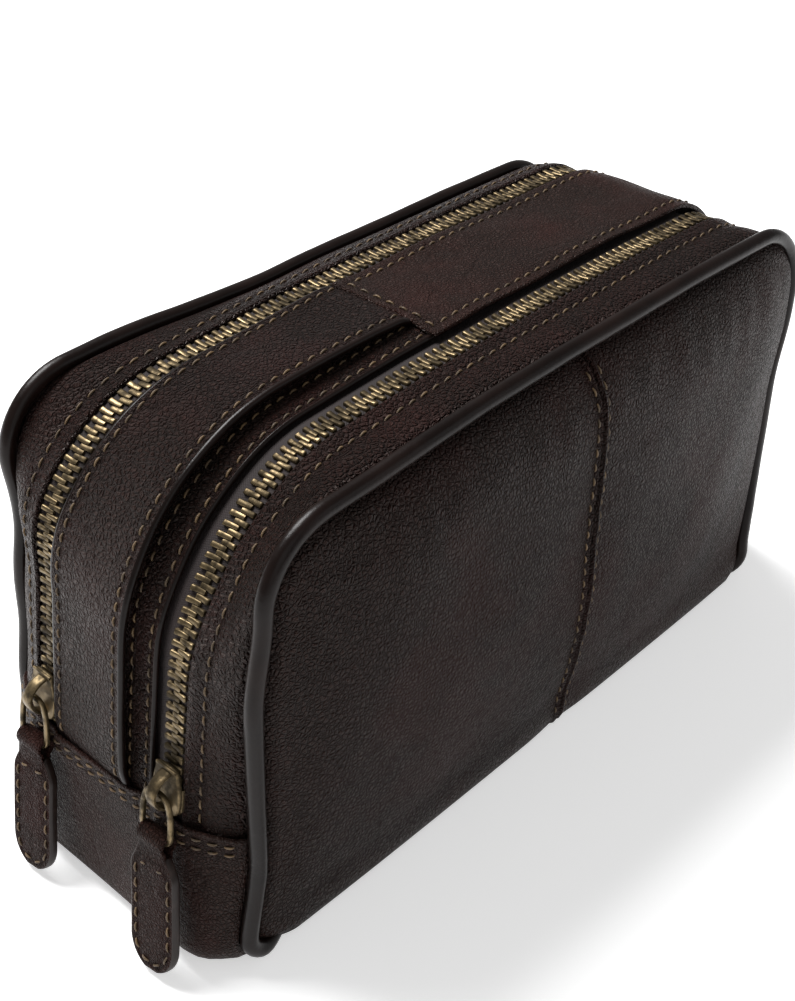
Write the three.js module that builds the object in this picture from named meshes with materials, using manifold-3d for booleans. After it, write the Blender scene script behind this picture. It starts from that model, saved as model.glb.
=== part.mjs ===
// Shaving kit bag: a leather box with two zipped compartments either side of a centre divider.
//
// Millimetres.  The origin is the centre of the flat underside, X runs along the bag with the
// zip pulls hanging on the -X end, the front panel faces -Y and +Z is up.  Each shell of a
// compartment folds outward about a line just above the base wrap.

import * as THREE from "three";
import { mergeVertices } from "three/addons/utils/BufferGeometryUtils.js";
import Module from "manifold-3d";

const wasm = await Module();
wasm.setup();

// ---------------------------------------------------------------- driving dimensions

// The bag's outline in a plane of constant y: a floor, a tight heel, a leaning end, a round
// shoulder and a flat top.  One outline holds between the zips, the other along the piping.
// The near shoulders slump in a wide curve; the far ones keep the tight curve they were cut to.
const GUSSET_OUTLINE = { foot: 135.2, lean: 0.1405, shoulder: 52.9, top: 140.5, floor: 2.0, heel: 4.5 };
const PIPING_OUTLINE = { foot: 121.0, lean: 0.028, shoulder: 22, top: 139.5, floor: 3.3, heel: 9 };
const FAR_GUSSET_OUTLINE = { ...GUSSET_OUTLINE, shoulder: 27 };
const FAR_PIPING_OUTLINE = { ...PIPING_OUTLINE, foot: 116.5, lean: 0 };
const ROUNDING_START_Y = 28;
const ROUNDING_YS = [ROUNDING_START_Y, 36, 42];
const PIPING_Y = 50;
const PIPING_RADIUS = 2.9;
const PIPING_STEPS = 44;
const PIPING_FOOT_STEPS = 64;

const GAP = 0.4;
const LEATHER = 1.6;
const LINING = 0.8;

// Heights on the ends, and places along the top.
const FOLD_Z = 48;
const WRAP_TOP_Z = 46;
const GUSSET_FOOT_Z = 30;
const CHANNEL_TOP_Z = 37;
const COVER_EDGE_X = -20;
const GUSSET_END_X = -8;
const SEAM_X = 6;

// Bands across the gusset.
const CENTRE_HALF_WIDTH = 20;
const STRAP_FRONT_Y = -11;
const STRAP_BACK_Y = 20;
const STRAP_LAYER = 1.3;
const STRAP_LIFT = 3.6;
const SIDE_BAND_YS = [37, 42];
const SIDE_BAND_Y = 33;
const SIDE_BAND_END_Y = PIPING_Y - PIPING_RADIUS - GAP;

// Zips.
const ZIP_Y = 26.5;
const ROW_GAP = 0.15;
const ROW_WIDTH = 3.75;
const ROW_TOP = 0.4;
const ROW_THICKNESS = 2.6;
const TAPE_THICKNESS = 0.8;
const TAPE_TOP_AT_ROW = -0.5;
const TAPE_REACH = 10.5;
const SLIDER_Z = 55;
const SLIDER_HALF_LENGTH = 7.5;
const SLIDER_CLEAR_Z = 63.2;

// Panels.
const PANEL_BULGE = 11.2;
const PANEL_INSET = PIPING_RADIUS + GAP;
const PANEL_MID_Z = 95;
const PANEL_BELOW = { reach: 95, power: 2.3 };
const PANEL_ABOVE = { reach: 43, power: 4.8 };
const PANEL_ACROSS_POWER = 4.5;
const LINING_INSET = 1.5;
const LINING_GAP = 1.4;

// Inside.
const BOARD_HALF_LENGTH = 112;
const BOARD_HALF_WIDTH = 36;
const BOARD_THICKNESS = 1.4;
const DIVIDER_THICKNESS = 2;
const CHANNEL_INNER_Y = 2.2;
const CHANNEL_OUTER_Y = 44;

// Slider and pull.
const PULL_OFFSET = 5;
const BAIL_LENGTH = 15;
const BAIL_BAR = 1.5;
const BAIL_HALF_WIDTH = 6.5;
const PLATE_GAP = 0.5;
const PLATE_THICKNESS = 1.4;
const THROAT_HALF_WIDTH = 4;
const MOUTH_HALF_WIDTH = 5.4;
const ARCH_HALF_LENGTH = 5;
const ARCH_WIDTH = 3.4;
const ARCH_OVER_PULL = 2.4;
const TAB_LENGTH = 40.5;
const TAB_TILT = THREE.MathUtils.degToRad(6);
const TAB_HALF_WIDTH = 10;
const TAB_THICKNESS = 2.6;
const NECK_WIDTH = 8.8;
const NECK_LENGTH = 9;
const LOOP_RADIUS = 2.5;
const LOOP_HOLE = 1.25;

// ---------------------------------------------------------------- the bag's surface

function outlineAt(y, far) {
  const t = THREE.MathUtils.clamp((Math.abs(y) - ROUNDING_START_Y) / (PIPING_Y - ROUNDING_START_Y), 0, 1);
  const blend = 1 - Math.cos((t * Math.PI) / 2);
  const gusset = far ? FAR_GUSSET_OUTLINE : GUSSET_OUTLINE;
  const piping = far ? FAR_PIPING_OUTLINE : PIPING_OUTLINE;
  const outline = {};
  for (const key of Object.keys(gusset)) {
    outline[key] = THREE.MathUtils.lerp(gusset[key], piping[key], blend);
  }
  return outline;
}

function insetOutline(outline, inset) {
  return {
    foot: outline.foot - inset,
    lean: outline.lean,
    shoulder: outline.shoulder - inset,
    top: outline.top - inset,
    floor: outline.floor + inset,
    heel: outline.heel - inset,
  };
}

// Centres of the shoulder and heel arcs, each tangent to the leaning end.
function arcCentres(outline) {
  const slope = Math.hypot(1, outline.lean);
  const shoulderZ = outline.top - outline.shoulder;
  const heelZ = outline.floor + outline.heel;
  return {
    slope,
    shoulderZ,
    shoulderX: outline.foot - outline.lean * shoulderZ - outline.shoulder * slope,
    heelZ,
    heelX: outline.foot - outline.lean * heelZ - outline.heel * slope,
  };
}

// How far a point (x measured outward from the middle) lies outside an outline.
function outsideBy(outline, x, z) {
  const arc = arcCentres(outline);
  const sx = x - arc.shoulderX;
  const sz = z - arc.shoulderZ;
  if (sx > 0 && sz > outline.lean * sx) {
    return Math.hypot(sx, sz) - outline.shoulder;
  }
  const hx = x - arc.heelX;
  const hz = z - arc.heelZ;
  if (hx > 0 && hz < outline.lean * hx) {
    return Math.hypot(hx, hz) - outline.heel;
  }
  const end = (x + outline.lean * z - outline.foot) / arc.slope;
  return Math.max(end, z - outline.top, outline.floor - z);
}

function halfWidthAt(outline, z) {
  const arc = arcCentres(outline);
  const end = outline.foot - outline.lean * z;
  if (z > arc.shoulderZ) {
    const round = arc.shoulderX + Math.sqrt(Math.max(0, outline.shoulder ** 2 - (z - arc.shoulderZ) ** 2));
    return Math.min(end, round);
  }
  if (z < arc.heelZ) {
    const round = arc.heelX + Math.sqrt(Math.max(0, outline.heel ** 2 - (arc.heelZ - z) ** 2));
    return Math.min(end, round);
  }
  return end;
}

// A station runs round the bag, close to millimetres: from the middle of the base (0), round
// the near heel, up the near end and over the near shoulder to the middle of the top, then the
// same way down to the far end.  Rays from inside carry it to every outline.
const HEEL_PIVOT = new THREE.Vector2(100, 36);
const LEAN_ANGLE = Math.atan(GUSSET_OUTLINE.lean);
const SHOULDER_PIVOT = new THREE.Vector2(
  arcCentres(GUSSET_OUTLINE).shoulderX,
  arcCentres(GUSSET_OUTLINE).shoulderZ,
);
const END_RAY_TOP = SHOULDER_PIVOT.y + (SHOULDER_PIVOT.x - HEEL_PIVOT.x) * -GUSSET_OUTLINE.lean;
const SEGMENTS = [
  HEEL_PIVOT.x,
  (HEEL_PIVOT.y * Math.PI) / 2,
  END_RAY_TOP - HEEL_PIVOT.y,
  GUSSET_OUTLINE.shoulder * (Math.PI / 2 - LEAN_ANGLE),
  SHOULDER_PIVOT.x,
];
const HALF_ROUND = SEGMENTS.reduce((sum, length) => sum + length, 0);

function rayAt(station) {
  let rest = station;
  let segment = 0;
  while (segment < SEGMENTS.length - 1 && rest > SEGMENTS[segment]) {
    rest -= SEGMENTS[segment];
    segment += 1;
  }
  const part = rest / SEGMENTS[segment];
  const quarter = Math.PI / 2;
  const rays = [
    () => [rest, HEEL_PIVOT.y, -quarter],
    () => [HEEL_PIVOT.x, HEEL_PIVOT.y, -quarter * (1 - part)],
    () => [HEEL_PIVOT.x, HEEL_PIVOT.y + rest, LEAN_ANGLE * part],
    () => [SHOULDER_PIVOT.x, SHOULDER_PIVOT.y, THREE.MathUtils.lerp(LEAN_ANGLE, quarter, part)],
    () => [SHOULDER_PIVOT.x - rest, SHOULDER_PIVOT.y, quarter],
  ];
  return rays[segment]();
}

function outlinePoint(station, y) {
  const far = station > HALF_ROUND || station < 0;
  const folded = station > HALF_ROUND ? 2 * HALF_ROUND - station : Math.abs(station);
  const [x, z, angle] = rayAt(folded);
  const outline = outlineAt(y, far);
  let low = 0;
  let high = 150;
  for (let step = 0; step < 34; step += 1) {
    const mid = (low + high) / 2;
    if (outsideBy(outline, x + mid * Math.cos(angle), z + mid * Math.sin(angle)) > 0) {
      high = mid;
    } else {
      low = mid;
    }
  }
  const outward = x + low * Math.cos(angle);
  return new THREE.Vector3(far ? outward : -outward, y, z + low * Math.sin(angle));
}

// A point at a station and a y, raised by a height along the surface's outward normal.
function surfacePoint(station, y, height) {
  const point = outlinePoint(station, y);
  const along = outlinePoint(station + 0.5, y).sub(outlinePoint(station - 0.5, y));
  const across = outlinePoint(station, y + 0.25).sub(outlinePoint(station, y - 0.25));
  const normal = across.cross(along).normalize();
  return point.addScaledVector(normal, -height);
}

function nearStation(z) {
  let low = SEGMENTS[0];
  let high = HALF_ROUND - SEGMENTS[4];
  for (let step = 0; step < 30; step += 1) {
    const mid = (low + high) / 2;
    if (outlinePoint(mid, 0).z < z) {
      low = mid;
    } else {
      high = mid;
    }
  }
  return low;
}

const farStation = (z) => 2 * HALF_ROUND - nearStation(z);
const topStation = (x) => HALF_ROUND + x;

const evenly = (count) => Array.from({ length: count + 1 }, (_, i) => i / count);

// Breaks along each segment, as fractions: finest round the tight heel, coarse on the straights.
const HEEL_BREAKS = [0, 0.26, 0.34, 0.42, 0.46, 0.5, 0.54, 0.78];
const SHOULDER_BREAKS = evenly(11).slice(0, -1);
const STRAIGHT_BREAKS = [0, 0.5];
const SEGMENT_BREAKS = [
  STRAIGHT_BREAKS,
  HEEL_BREAKS,
  STRAIGHT_BREAKS,
  SHOULDER_BREAKS,
  STRAIGHT_BREAKS,
];

function stationsBetween(from, to) {
  const breaks = [];
  let start = 0;
  SEGMENTS.forEach((length, segment) => {
    for (const fraction of SEGMENT_BREAKS[segment]) {
      const station = start + length * fraction;
      breaks.push(station, -station, 2 * HALF_ROUND - station);
    }
    start += length;
  });
  breaks.push(HALF_ROUND);
  const closest = 1.5;
  const between = [...new Set(breaks)].filter((s) => s > from + closest && s < to - closest);
  return [from, ...between.sort((a, b) => a - b), to];
}

// ---------------------------------------------------------------- solid builders

function asGeometry(positions, indices) {
  const geometry = new THREE.BufferGeometry();
  geometry.setAttribute("position", new THREE.Float32BufferAttribute(positions, 3));
  geometry.setIndex(indices);
  return geometry;
}

function signedVolume(positions, indices) {
  const corner = (index) => new THREE.Vector3().fromArray(positions, index * 3);
  let volume = 0;
  for (let i = 0; i < indices.length; i += 3) {
    volume += corner(indices[i]).dot(corner(indices[i + 1]).cross(corner(indices[i + 2])));
  }
  return volume / 6;
}

// A closed sheet over a grid: pointAt(u, v, face) gives its outer (face 0) and inner (face 1) points.
function slab(us, vs, pointAt) {
  const positions = [];
  const indices = [];
  const lastU = us.length - 1;
  const lastV = vs.length - 1;
  for (const face of [0, 1]) {
    for (const u of us) {
      for (const v of vs) {
        positions.push(...pointAt(u, v, face).toArray());
      }
    }
  }
  const at = (i, j, face) => (face * us.length + i) * vs.length + j;
  const quad = (a, b, c, d) => indices.push(a, b, c, a, c, d);
  for (let i = 0; i < lastU; i += 1) {
    for (let j = 0; j < lastV; j += 1) {
      quad(at(i, j, 0), at(i + 1, j, 0), at(i + 1, j + 1, 0), at(i, j + 1, 0));
      quad(at(i, j, 1), at(i, j + 1, 1), at(i + 1, j + 1, 1), at(i + 1, j, 1));
    }
    quad(at(i, 0, 0), at(i, 0, 1), at(i + 1, 0, 1), at(i + 1, 0, 0));
    quad(at(i, lastV, 0), at(i + 1, lastV, 0), at(i + 1, lastV, 1), at(i, lastV, 1));
  }
  for (let j = 0; j < lastV; j += 1) {
    quad(at(0, j, 0), at(0, j + 1, 0), at(0, j + 1, 1), at(0, j, 1));
    quad(at(lastU, j, 0), at(lastU, j, 1), at(lastU, j + 1, 1), at(lastU, j + 1, 0));
  }
  if (signedVolume(positions, indices) < 0) {
    indices.reverse();
  }
  return asGeometry(positions, indices);
}

// A band round the bag from one station to another, with its outer face at one height.
function band({ from, to, ys, outer, thickness, lift = () => 0 }) {
  return slab(stationsBetween(from, to), ys, (station, y, face) => {
    const raised = lift((station - from) / (to - from), y);
    return surfacePoint(station, y, outer + raised - face * thickness);
  });
}

function tube(points, radius, steps) {
  const section = new THREE.Shape();
  section.absarc(0, 0, radius, 0, 2 * Math.PI);
  const extrudePath = new THREE.CatmullRomCurve3(points, false, "centripetal");
  return new THREE.ExtrudeGeometry(section, { extrudePath, steps, curveSegments: 4, bevelEnabled: false });
}

function toManifold(geometry) {
  const bare = geometry.clone();
  bare.deleteAttribute("normal");
  bare.deleteAttribute("uv");
  const merged = mergeVertices(bare, 1e-4);
  return new wasm.Manifold(new wasm.Mesh({
    numProp: 3,
    vertProperties: new Float32Array(merged.attributes.position.array),
    triVerts: new Uint32Array(merged.index.array),
  }));
}

function fromManifold(solid) {
  const mesh = solid.getMesh();
  return asGeometry(Array.from(mesh.vertProperties), Array.from(mesh.triVerts));
}

const union = (geometries) => fromManifold(geometries.map(toManifold).reduce((a, b) => a.add(b)));

// An outline drawn in (y, z), extruded from x0 to x1.
function plateAcrossX(shape, x0, x1) {
  const geometry = new THREE.ExtrudeGeometry(shape, { depth: x1 - x0, curveSegments: 6, bevelEnabled: false });
  const toYZ = new THREE.Matrix4().makeBasis(
    new THREE.Vector3(0, 1, 0),
    new THREE.Vector3(0, 0, 1),
    new THREE.Vector3(1, 0, 0),
  );
  return geometry.applyMatrix4(toYZ).translate(x0, 0, 0);
}

// A side profile drawn in (z, x), extruded by a width centred on y = 0.
function plateAcrossY(shape, width) {
  const geometry = new THREE.ExtrudeGeometry(shape, { depth: width, curveSegments: 6, bevelEnabled: false });
  const toZX = new THREE.Matrix4().makeBasis(
    new THREE.Vector3(0, 0, 1),
    new THREE.Vector3(1, 0, 0),
    new THREE.Vector3(0, 1, 0),
  );
  return geometry.applyMatrix4(toZX).translate(0, -width / 2, 0);
}

function box(x0, x1, y0, y1, z0, z1) {
  const geometry = new THREE.BoxGeometry(x1 - x0, y1 - y0, z1 - z0);
  return geometry.translate((x0 + x1) / 2, (y0 + y1) / 2, (z0 + z1) / 2);
}

function roundedRectangle(halfWidth, z0, z1, radius) {
  const shape = new THREE.Shape();
  shape.moveTo(-halfWidth + radius, z0);
  shape.lineTo(halfWidth - radius, z0);
  shape.absarc(halfWidth - radius, z0 + radius, radius, -Math.PI / 2, 0);
  shape.absarc(halfWidth - radius, z1 - radius, radius, 0, Math.PI / 2);
  shape.absarc(-halfWidth + radius, z1 - radius, radius, Math.PI / 2, Math.PI);
  shape.absarc(-halfWidth + radius, z0 + radius, radius, Math.PI, 1.5 * Math.PI);
  return shape;
}

// ---------------------------------------------------------------- materials

const finish = (color, roughness, metalness = 0) => ({ color, roughness, metalness });
const PEBBLED_LEATHER = finish(0x2b1d1b, 0.55);
const SMOOTH_LEATHER = finish(0x33221f, 0.45);
const PIPING_LEATHER = finish(0x2a1c1a, 0.35);
const LINING_CLOTH = finish(0x3a3230, 0.9);
const TAPE_CLOTH = finish(0x2a1513, 0.9);
const BOARD = finish(0x6b5a48, 0.95);
const BRASS = finish(0x8a7a4e, 0.4, 0.9);

const bag = new THREE.Group();

function place(name, geometry, look, parent = bag) {
  const mesh = new THREE.Mesh(geometry, new THREE.MeshStandardMaterial(look));
  mesh.name = name;
  parent.add(mesh);
  return mesh;
}

// ---------------------------------------------------------------- base and centre

function makeBase() {
  const wrap = band({
    from: -nearStation(WRAP_TOP_Z),
    to: nearStation(WRAP_TOP_Z),
    ys: [-SIDE_BAND_END_Y, ...ROUNDING_YS.map((y) => -y).reverse(), ...ROUNDING_YS, SIDE_BAND_END_Y],
    outer: GAP + LEATHER,
    thickness: LEATHER,
  });
  place("base_wrap", wrap, SMOOTH_LEATHER);
  const boardBottom = GUSSET_OUTLINE.floor + GAP;
  const board = box(
    -BOARD_HALF_LENGTH,
    BOARD_HALF_LENGTH,
    -BOARD_HALF_WIDTH,
    BOARD_HALF_WIDTH,
    boardBottom,
    boardBottom + BOARD_THICKNESS,
  );
  place("base_stiffener", board, BOARD);
}

function makeDivider() {
  const inset = LEATHER + 2 * GAP;
  const near = insetOutline(GUSSET_OUTLINE, inset);
  const far = insetOutline(FAR_GUSSET_OUTLINE, inset);
  const nearArc = arcCentres(near);
  const farArc = arcCentres(far);
  const shape = new THREE.Shape();
  shape.moveTo(-nearArc.heelX, near.floor);
  shape.lineTo(farArc.heelX, far.floor);
  shape.absarc(farArc.heelX, farArc.heelZ, far.heel, -Math.PI / 2, LEAN_ANGLE);
  shape.absarc(farArc.shoulderX, farArc.shoulderZ, far.shoulder, LEAN_ANGLE, Math.PI / 2);
  shape.absarc(-nearArc.shoulderX, nearArc.shoulderZ, near.shoulder, Math.PI / 2, Math.PI - LEAN_ANGLE);
  shape.absarc(-nearArc.heelX, nearArc.heelZ, near.heel, Math.PI - LEAN_ANGLE, 1.5 * Math.PI);
  const geometry = new THREE.ExtrudeGeometry(shape, {
    depth: DIVIDER_THICKNESS,
    curveSegments: 8,
    bevelEnabled: false,
  });
  geometry.rotateX(Math.PI / 2).translate(0, DIVIDER_THICKNESS / 2, 0);
  place("divider", geometry, LINING_CLOTH);
}

function makeCentre() {
  const gusset = band({
    from: nearStation(GUSSET_FOOT_Z),
    to: topStation(GUSSET_END_X),
    ys: [-CENTRE_HALF_WIDTH, CENTRE_HALF_WIDTH],
    outer: 0,
    thickness: LEATHER,
  });
  place("centre_gusset", gusset, PEBBLED_LEATHER);
  const cover = band({
    from: topStation(COVER_EDGE_X),
    to: farStation(WRAP_TOP_Z + 2 * GAP),
    ys: [-CENTRE_HALF_WIDTH, CENTRE_HALF_WIDTH],
    outer: GAP + LEATHER,
    thickness: LEATHER,
  });
  place("top_cover", cover, SMOOTH_LEATHER);
}

// The strap lies flat along its back edge and its front edge stands up, highest half way.
function makeStrap() {
  const width = STRAP_BACK_Y - STRAP_FRONT_Y;
  const layer = (name, bottom, look) => {
    const geometry = band({
      from: nearStation(WRAP_TOP_Z + 2 * GAP),
      to: topStation(COVER_EDGE_X - GAP),
      ys: [STRAP_FRONT_Y, (STRAP_FRONT_Y + STRAP_BACK_Y) / 2, STRAP_BACK_Y],
      outer: bottom + STRAP_LAYER,
      thickness: STRAP_LAYER,
      lift: (u, y) => (STRAP_LIFT * Math.sin(Math.PI * u) * (STRAP_BACK_Y - y)) / width,
    });
    place(name, geometry, look);
  };
  layer("handle_strap_backing", GAP, SMOOTH_LEATHER);
  layer("handle_strap", 2 * GAP + STRAP_LAYER, PEBBLED_LEATHER);
}

// ---------------------------------------------------------------- one compartment

// side is -1 at the front and +1 at the back.
function makeZipSide(name, side, outward, from, to) {
  const sign = side * (outward ? 1 : -1);
  const centre = side * ZIP_Y;
  const rowInner = centre + sign * ROW_GAP;
  const rowOuter = rowInner + sign * ROW_WIDTH;
  const teeth = band({
    from,
    to,
    ys: [rowInner, rowOuter],
    outer: ROW_TOP,
    thickness: ROW_THICKNESS,
  });
  place(`${name}_teeth`, teeth, BRASS);

  // The tape dips from mid-thickness of the teeth to below the leather beside them.
  const edge = outward ? SIDE_BAND_Y - ZIP_Y : ZIP_Y - CENTRE_HALF_WIDTH;
  const belowLeather = -LEATHER - GAP;
  const profile = [
    [ROW_GAP * 3 + ROW_WIDTH, TAPE_TOP_AT_ROW],
    [edge - 0.9, TAPE_TOP_AT_ROW],
    [edge - 0.2, belowLeather],
    [TAPE_REACH, belowLeather],
  ];
  const tape = slab(stationsBetween(from, to), profile, (station, [reach, height], face) =>
    surfacePoint(station, centre + sign * reach, height - face * TAPE_THICKNESS));
  place(`${name}_tape`, tape, TAPE_CLOTH);
}

function makeZip(label, side) {
  const bottom = nearStation(WRAP_TOP_Z + 1.5 * GAP);
  const farBottom = farStation(WRAP_TOP_Z + 1.5 * GAP);
  const parked = nearStation(SLIDER_CLEAR_Z);
  const joined = nearStation(SLIDER_CLEAR_Z + GAP);
  makeZipSide(`${label}_zip_inner`, side, false, bottom, farBottom);
  makeZipSide(`${label}_zip_outer`, side, true, joined, farBottom);
  makeZipSide(`${label}_zip_outer_foot`, side, true, bottom, parked);
}

function makeSideBand(label, side) {
  const geometry = band({
    from: nearStation(WRAP_TOP_Z + 1.5 * GAP),
    to: farStation(WRAP_TOP_Z + 1.5 * GAP),
    ys: [SIDE_BAND_Y, ...SIDE_BAND_YS, SIDE_BAND_END_Y].map((y) => side * y),
    outer: 0,
    thickness: LEATHER,
  });
  place(`${label}_side_band`, geometry, PEBBLED_LEATHER);
}

// The panel is a pillow: fullest two thirds of the way up, rolling in quickly at the top piping.
function panelDepth(x, z) {
  const half = z > PANEL_MID_Z ? PANEL_ABOVE : PANEL_BELOW;
  const acrossX = 1 - Math.abs(x / PIPING_OUTLINE.foot) ** PANEL_ACROSS_POWER;
  const acrossZ = 1 - Math.abs((z - PANEL_MID_Z) / half.reach) ** half.power;
  return PIPING_Y + PANEL_BULGE * Math.max(0, acrossX) * Math.max(0, acrossZ);
}

// A sheet behind the piping loop between two heights and two sides of the seam.
function panelSheet({ side, inset, depth, thickness, zLow, zHigh, left, right, rows, columns }) {
  const near = insetOutline(PIPING_OUTLINE, inset);
  const far = insetOutline(FAR_PIPING_OUTLINE, inset);
  const upward = zHigh > PANEL_MID_Z;
  const ease = (u) => (upward ? Math.sin((u * Math.PI) / 2) : 1 - Math.cos((u * Math.PI) / 2));
  const zs = evenly(rows).map((u) => THREE.MathUtils.lerp(zLow, zHigh, ease(u)));
  return slab(zs, evenly(columns), (z, v, face) => {
    const x = THREE.MathUtils.lerp(left ?? -halfWidthAt(near, z), right ?? halfWidthAt(far, z), v);
    return new THREE.Vector3(x, side * (panelDepth(x, z) - depth - face * thickness), z);
  });
}

function makePanel(label, side) {
  const top = PIPING_OUTLINE.top - PANEL_INSET;
  const bottom = PIPING_OUTLINE.floor + PANEL_INSET;
  const seam = GAP / 2;
  const halves = [
    ["left", undefined, SEAM_X - seam],
    ["right", SEAM_X + seam, undefined],
  ];
  for (const [half, left, right] of halves) {
    const sheet = { side, inset: PANEL_INSET, depth: 0, thickness: LEATHER, left, right, columns: 6 };
    const upper = panelSheet({ ...sheet, zLow: FOLD_Z + seam, zHigh: top, rows: 7 });
    place(`${label}_panel_${half}`, upper, PEBBLED_LEATHER);
    const foot = panelSheet({ ...sheet, zLow: bottom, zHigh: FOLD_Z - seam, rows: 4 });
    place(`${label}_panel_foot_${half}`, foot, PEBBLED_LEATHER);
  }
  const lining = {
    side,
    inset: PANEL_INSET + LINING_INSET,
    depth: LEATHER + LINING_GAP,
    thickness: LINING,
    columns: 9,
  };
  const liningTop = PIPING_OUTLINE.top - lining.inset;
  const liningBottom = PIPING_OUTLINE.floor + lining.inset;
  const upper = panelSheet({ ...lining, zLow: FOLD_Z + seam, zHigh: liningTop, rows: 6 });
  place(`${label}_lining`, upper, LINING_CLOTH);
  const foot = panelSheet({ ...lining, zLow: liningBottom, zHigh: FOLD_Z - seam, rows: 4 });
  place(`${label}_lining_foot`, foot, LINING_CLOTH);
}

function makePiping(label, side) {
  const y = side * PIPING_Y;
  const route = (from, to, count) => {
    const points = [];
    for (let i = 0; i <= count; i += 1) {
      points.push(outlinePoint(THREE.MathUtils.lerp(from, to, i / count), y));
    }
    return points;
  };
  const foldStation = (z) => {
    let station = nearStation(z);
    station += z - outlinePoint(station, y).z;
    return station;
  };
  const above = foldStation(FOLD_Z + GAP / 2);
  const below = foldStation(FOLD_Z - GAP / 2);
  const upper = route(above, 2 * HALF_ROUND - above, 60);
  place(`${label}_piping`, tube(upper, PIPING_RADIUS, PIPING_STEPS), PIPING_LEATHER);
  const lower = route(-below, below, 90);
  place(`${label}_piping_foot`, tube(lower, PIPING_RADIUS, PIPING_FOOT_STEPS), PIPING_LEATHER);
}

function makeCompartmentLining(label, side) {
  const geometry = band({
    from: -nearStation(CHANNEL_TOP_Z),
    to: nearStation(CHANNEL_TOP_Z),
    ys: [CHANNEL_INNER_Y, ...ROUNDING_YS, CHANNEL_OUTER_Y].map((y) => side * y),
    outer: -LEATHER - 1.5 * GAP,
    thickness: LINING,
  });
  place(`${label}_compartment_lining`, geometry, LINING_CLOTH);
}

// ---------------------------------------------------------------- slider, bail and tab

// Drawn at the origin with the chain along +Z and outward along -X.
function sliderPlate(throatHalf, mouthHalf) {
  const shape = new THREE.Shape();
  shape.moveTo(-throatHalf, SLIDER_HALF_LENGTH);
  shape.lineTo(throatHalf, SLIDER_HALF_LENGTH);
  shape.lineTo(mouthHalf, 2);
  shape.lineTo(mouthHalf, -5.5);
  shape.lineTo(mouthHalf - 2, -SLIDER_HALF_LENGTH);
  shape.lineTo(-mouthHalf + 2, -SLIDER_HALF_LENGTH);
  shape.lineTo(-mouthHalf, -5.5);
  shape.lineTo(-mouthHalf, 2);
  return shape;
}

function makeSliderBody() {
  const mouthHalf = MOUTH_HALF_WIDTH;
  const plateInner = ROW_TOP + PLATE_GAP;
  const plateOuter = plateInner + PLATE_THICKNESS;
  const plate = plateAcrossX(sliderPlate(THROAT_HALF_WIDTH, mouthHalf), -plateOuter, -plateInner);
  const flangeInner = ROW_GAP + ROW_WIDTH + PLATE_GAP;
  const flange = (y0, y1) => box(-plateInner - 0.2, 0.1, y0, y1, -5, 1.8);
  const archTop = PULL_OFFSET + ARCH_OVER_PULL;
  const arch = new THREE.Shape();
  arch.moveTo(-ARCH_HALF_LENGTH, -plateOuter + 0.3);
  arch.lineTo(ARCH_HALF_LENGTH, -plateOuter + 0.3);
  arch.lineTo(3.6, -archTop + 0.8);
  arch.lineTo(2.6, -archTop);
  arch.lineTo(-2.6, -archTop);
  arch.lineTo(-3.6, -archTop + 0.8);
  const window = new THREE.Path();
  window.moveTo(-1.7, -PULL_OFFSET + 1.2);
  window.lineTo(-1.7, -PULL_OFFSET - 1.2);
  window.lineTo(1.7, -PULL_OFFSET - 1.2);
  window.lineTo(1.7, -PULL_OFFSET + 1.2);
  arch.holes.push(window);
  const bridge = plateAcrossY(arch, ARCH_WIDTH);
  return union([plate, flange(flangeInner, mouthHalf), flange(-mouthHalf, -flangeInner), bridge]);
}

function makeUnderplate() {
  const inner = ROW_THICKNESS - ROW_TOP + PLATE_GAP;
  return plateAcrossX(sliderPlate(THROAT_HALF_WIDTH - 0.4, MOUTH_HALF_WIDTH - 0.5), inner, inner + 1);
}

function makeBail() {
  const reach = BAIL_BAR / 2;
  const ring = roundedRectangle(BAIL_HALF_WIDTH, -BAIL_LENGTH - reach, reach, 0.7);
  const inside = roundedRectangle(BAIL_HALF_WIDTH - BAIL_BAR, -BAIL_LENGTH + reach, -reach, 0.4);
  ring.holes.push(new THREE.Path(inside.getPoints(4)));
  return plateAcrossX(ring, -PULL_OFFSET - reach, -PULL_OFFSET + reach);
}

// The tab hangs from the bail's lower bar, which is at its own origin.
function makeTab() {
  const half = TAB_THICKNESS / 2;
  const loopFoot = 2.2;
  const neck = new THREE.Shape();
  neck.moveTo(-NECK_LENGTH, -half);
  neck.lineTo(-NECK_LENGTH, half);
  neck.lineTo(-loopFoot, half);
  neck.absarc(0, 0, LOOP_RADIUS, 0.85 * Math.PI, -0.85 * Math.PI, true);
  neck.lineTo(-loopFoot, -half);
  const hole = new THREE.Path();
  hole.absarc(0, 0, LOOP_HOLE, 0, 2 * Math.PI);
  neck.holes.push(hole);

  // The paddle widens from the neck to full width and ends in a half round.
  const full = TAB_HALF_WIDTH;
  const sides = [[4.4, -3.6], [full - 1.2, -NECK_LENGTH], [full, -12]];
  const paddle = new THREE.Shape();
  paddle.moveTo(-sides[0][0], sides[0][1]);
  paddle.lineTo(-sides[1][0], sides[1][1]);
  paddle.lineTo(-sides[2][0], sides[2][1]);
  paddle.lineTo(-full, -TAB_LENGTH + full);
  paddle.absarc(0, -TAB_LENGTH + full, full, Math.PI, 2 * Math.PI);
  paddle.lineTo(sides[2][0], sides[2][1]);
  paddle.lineTo(sides[1][0], sides[1][1]);
  paddle.lineTo(sides[0][0], sides[0][1]);
  return union([plateAcrossY(neck, NECK_WIDTH), plateAcrossX(paddle, -half, half)]);
}

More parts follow.
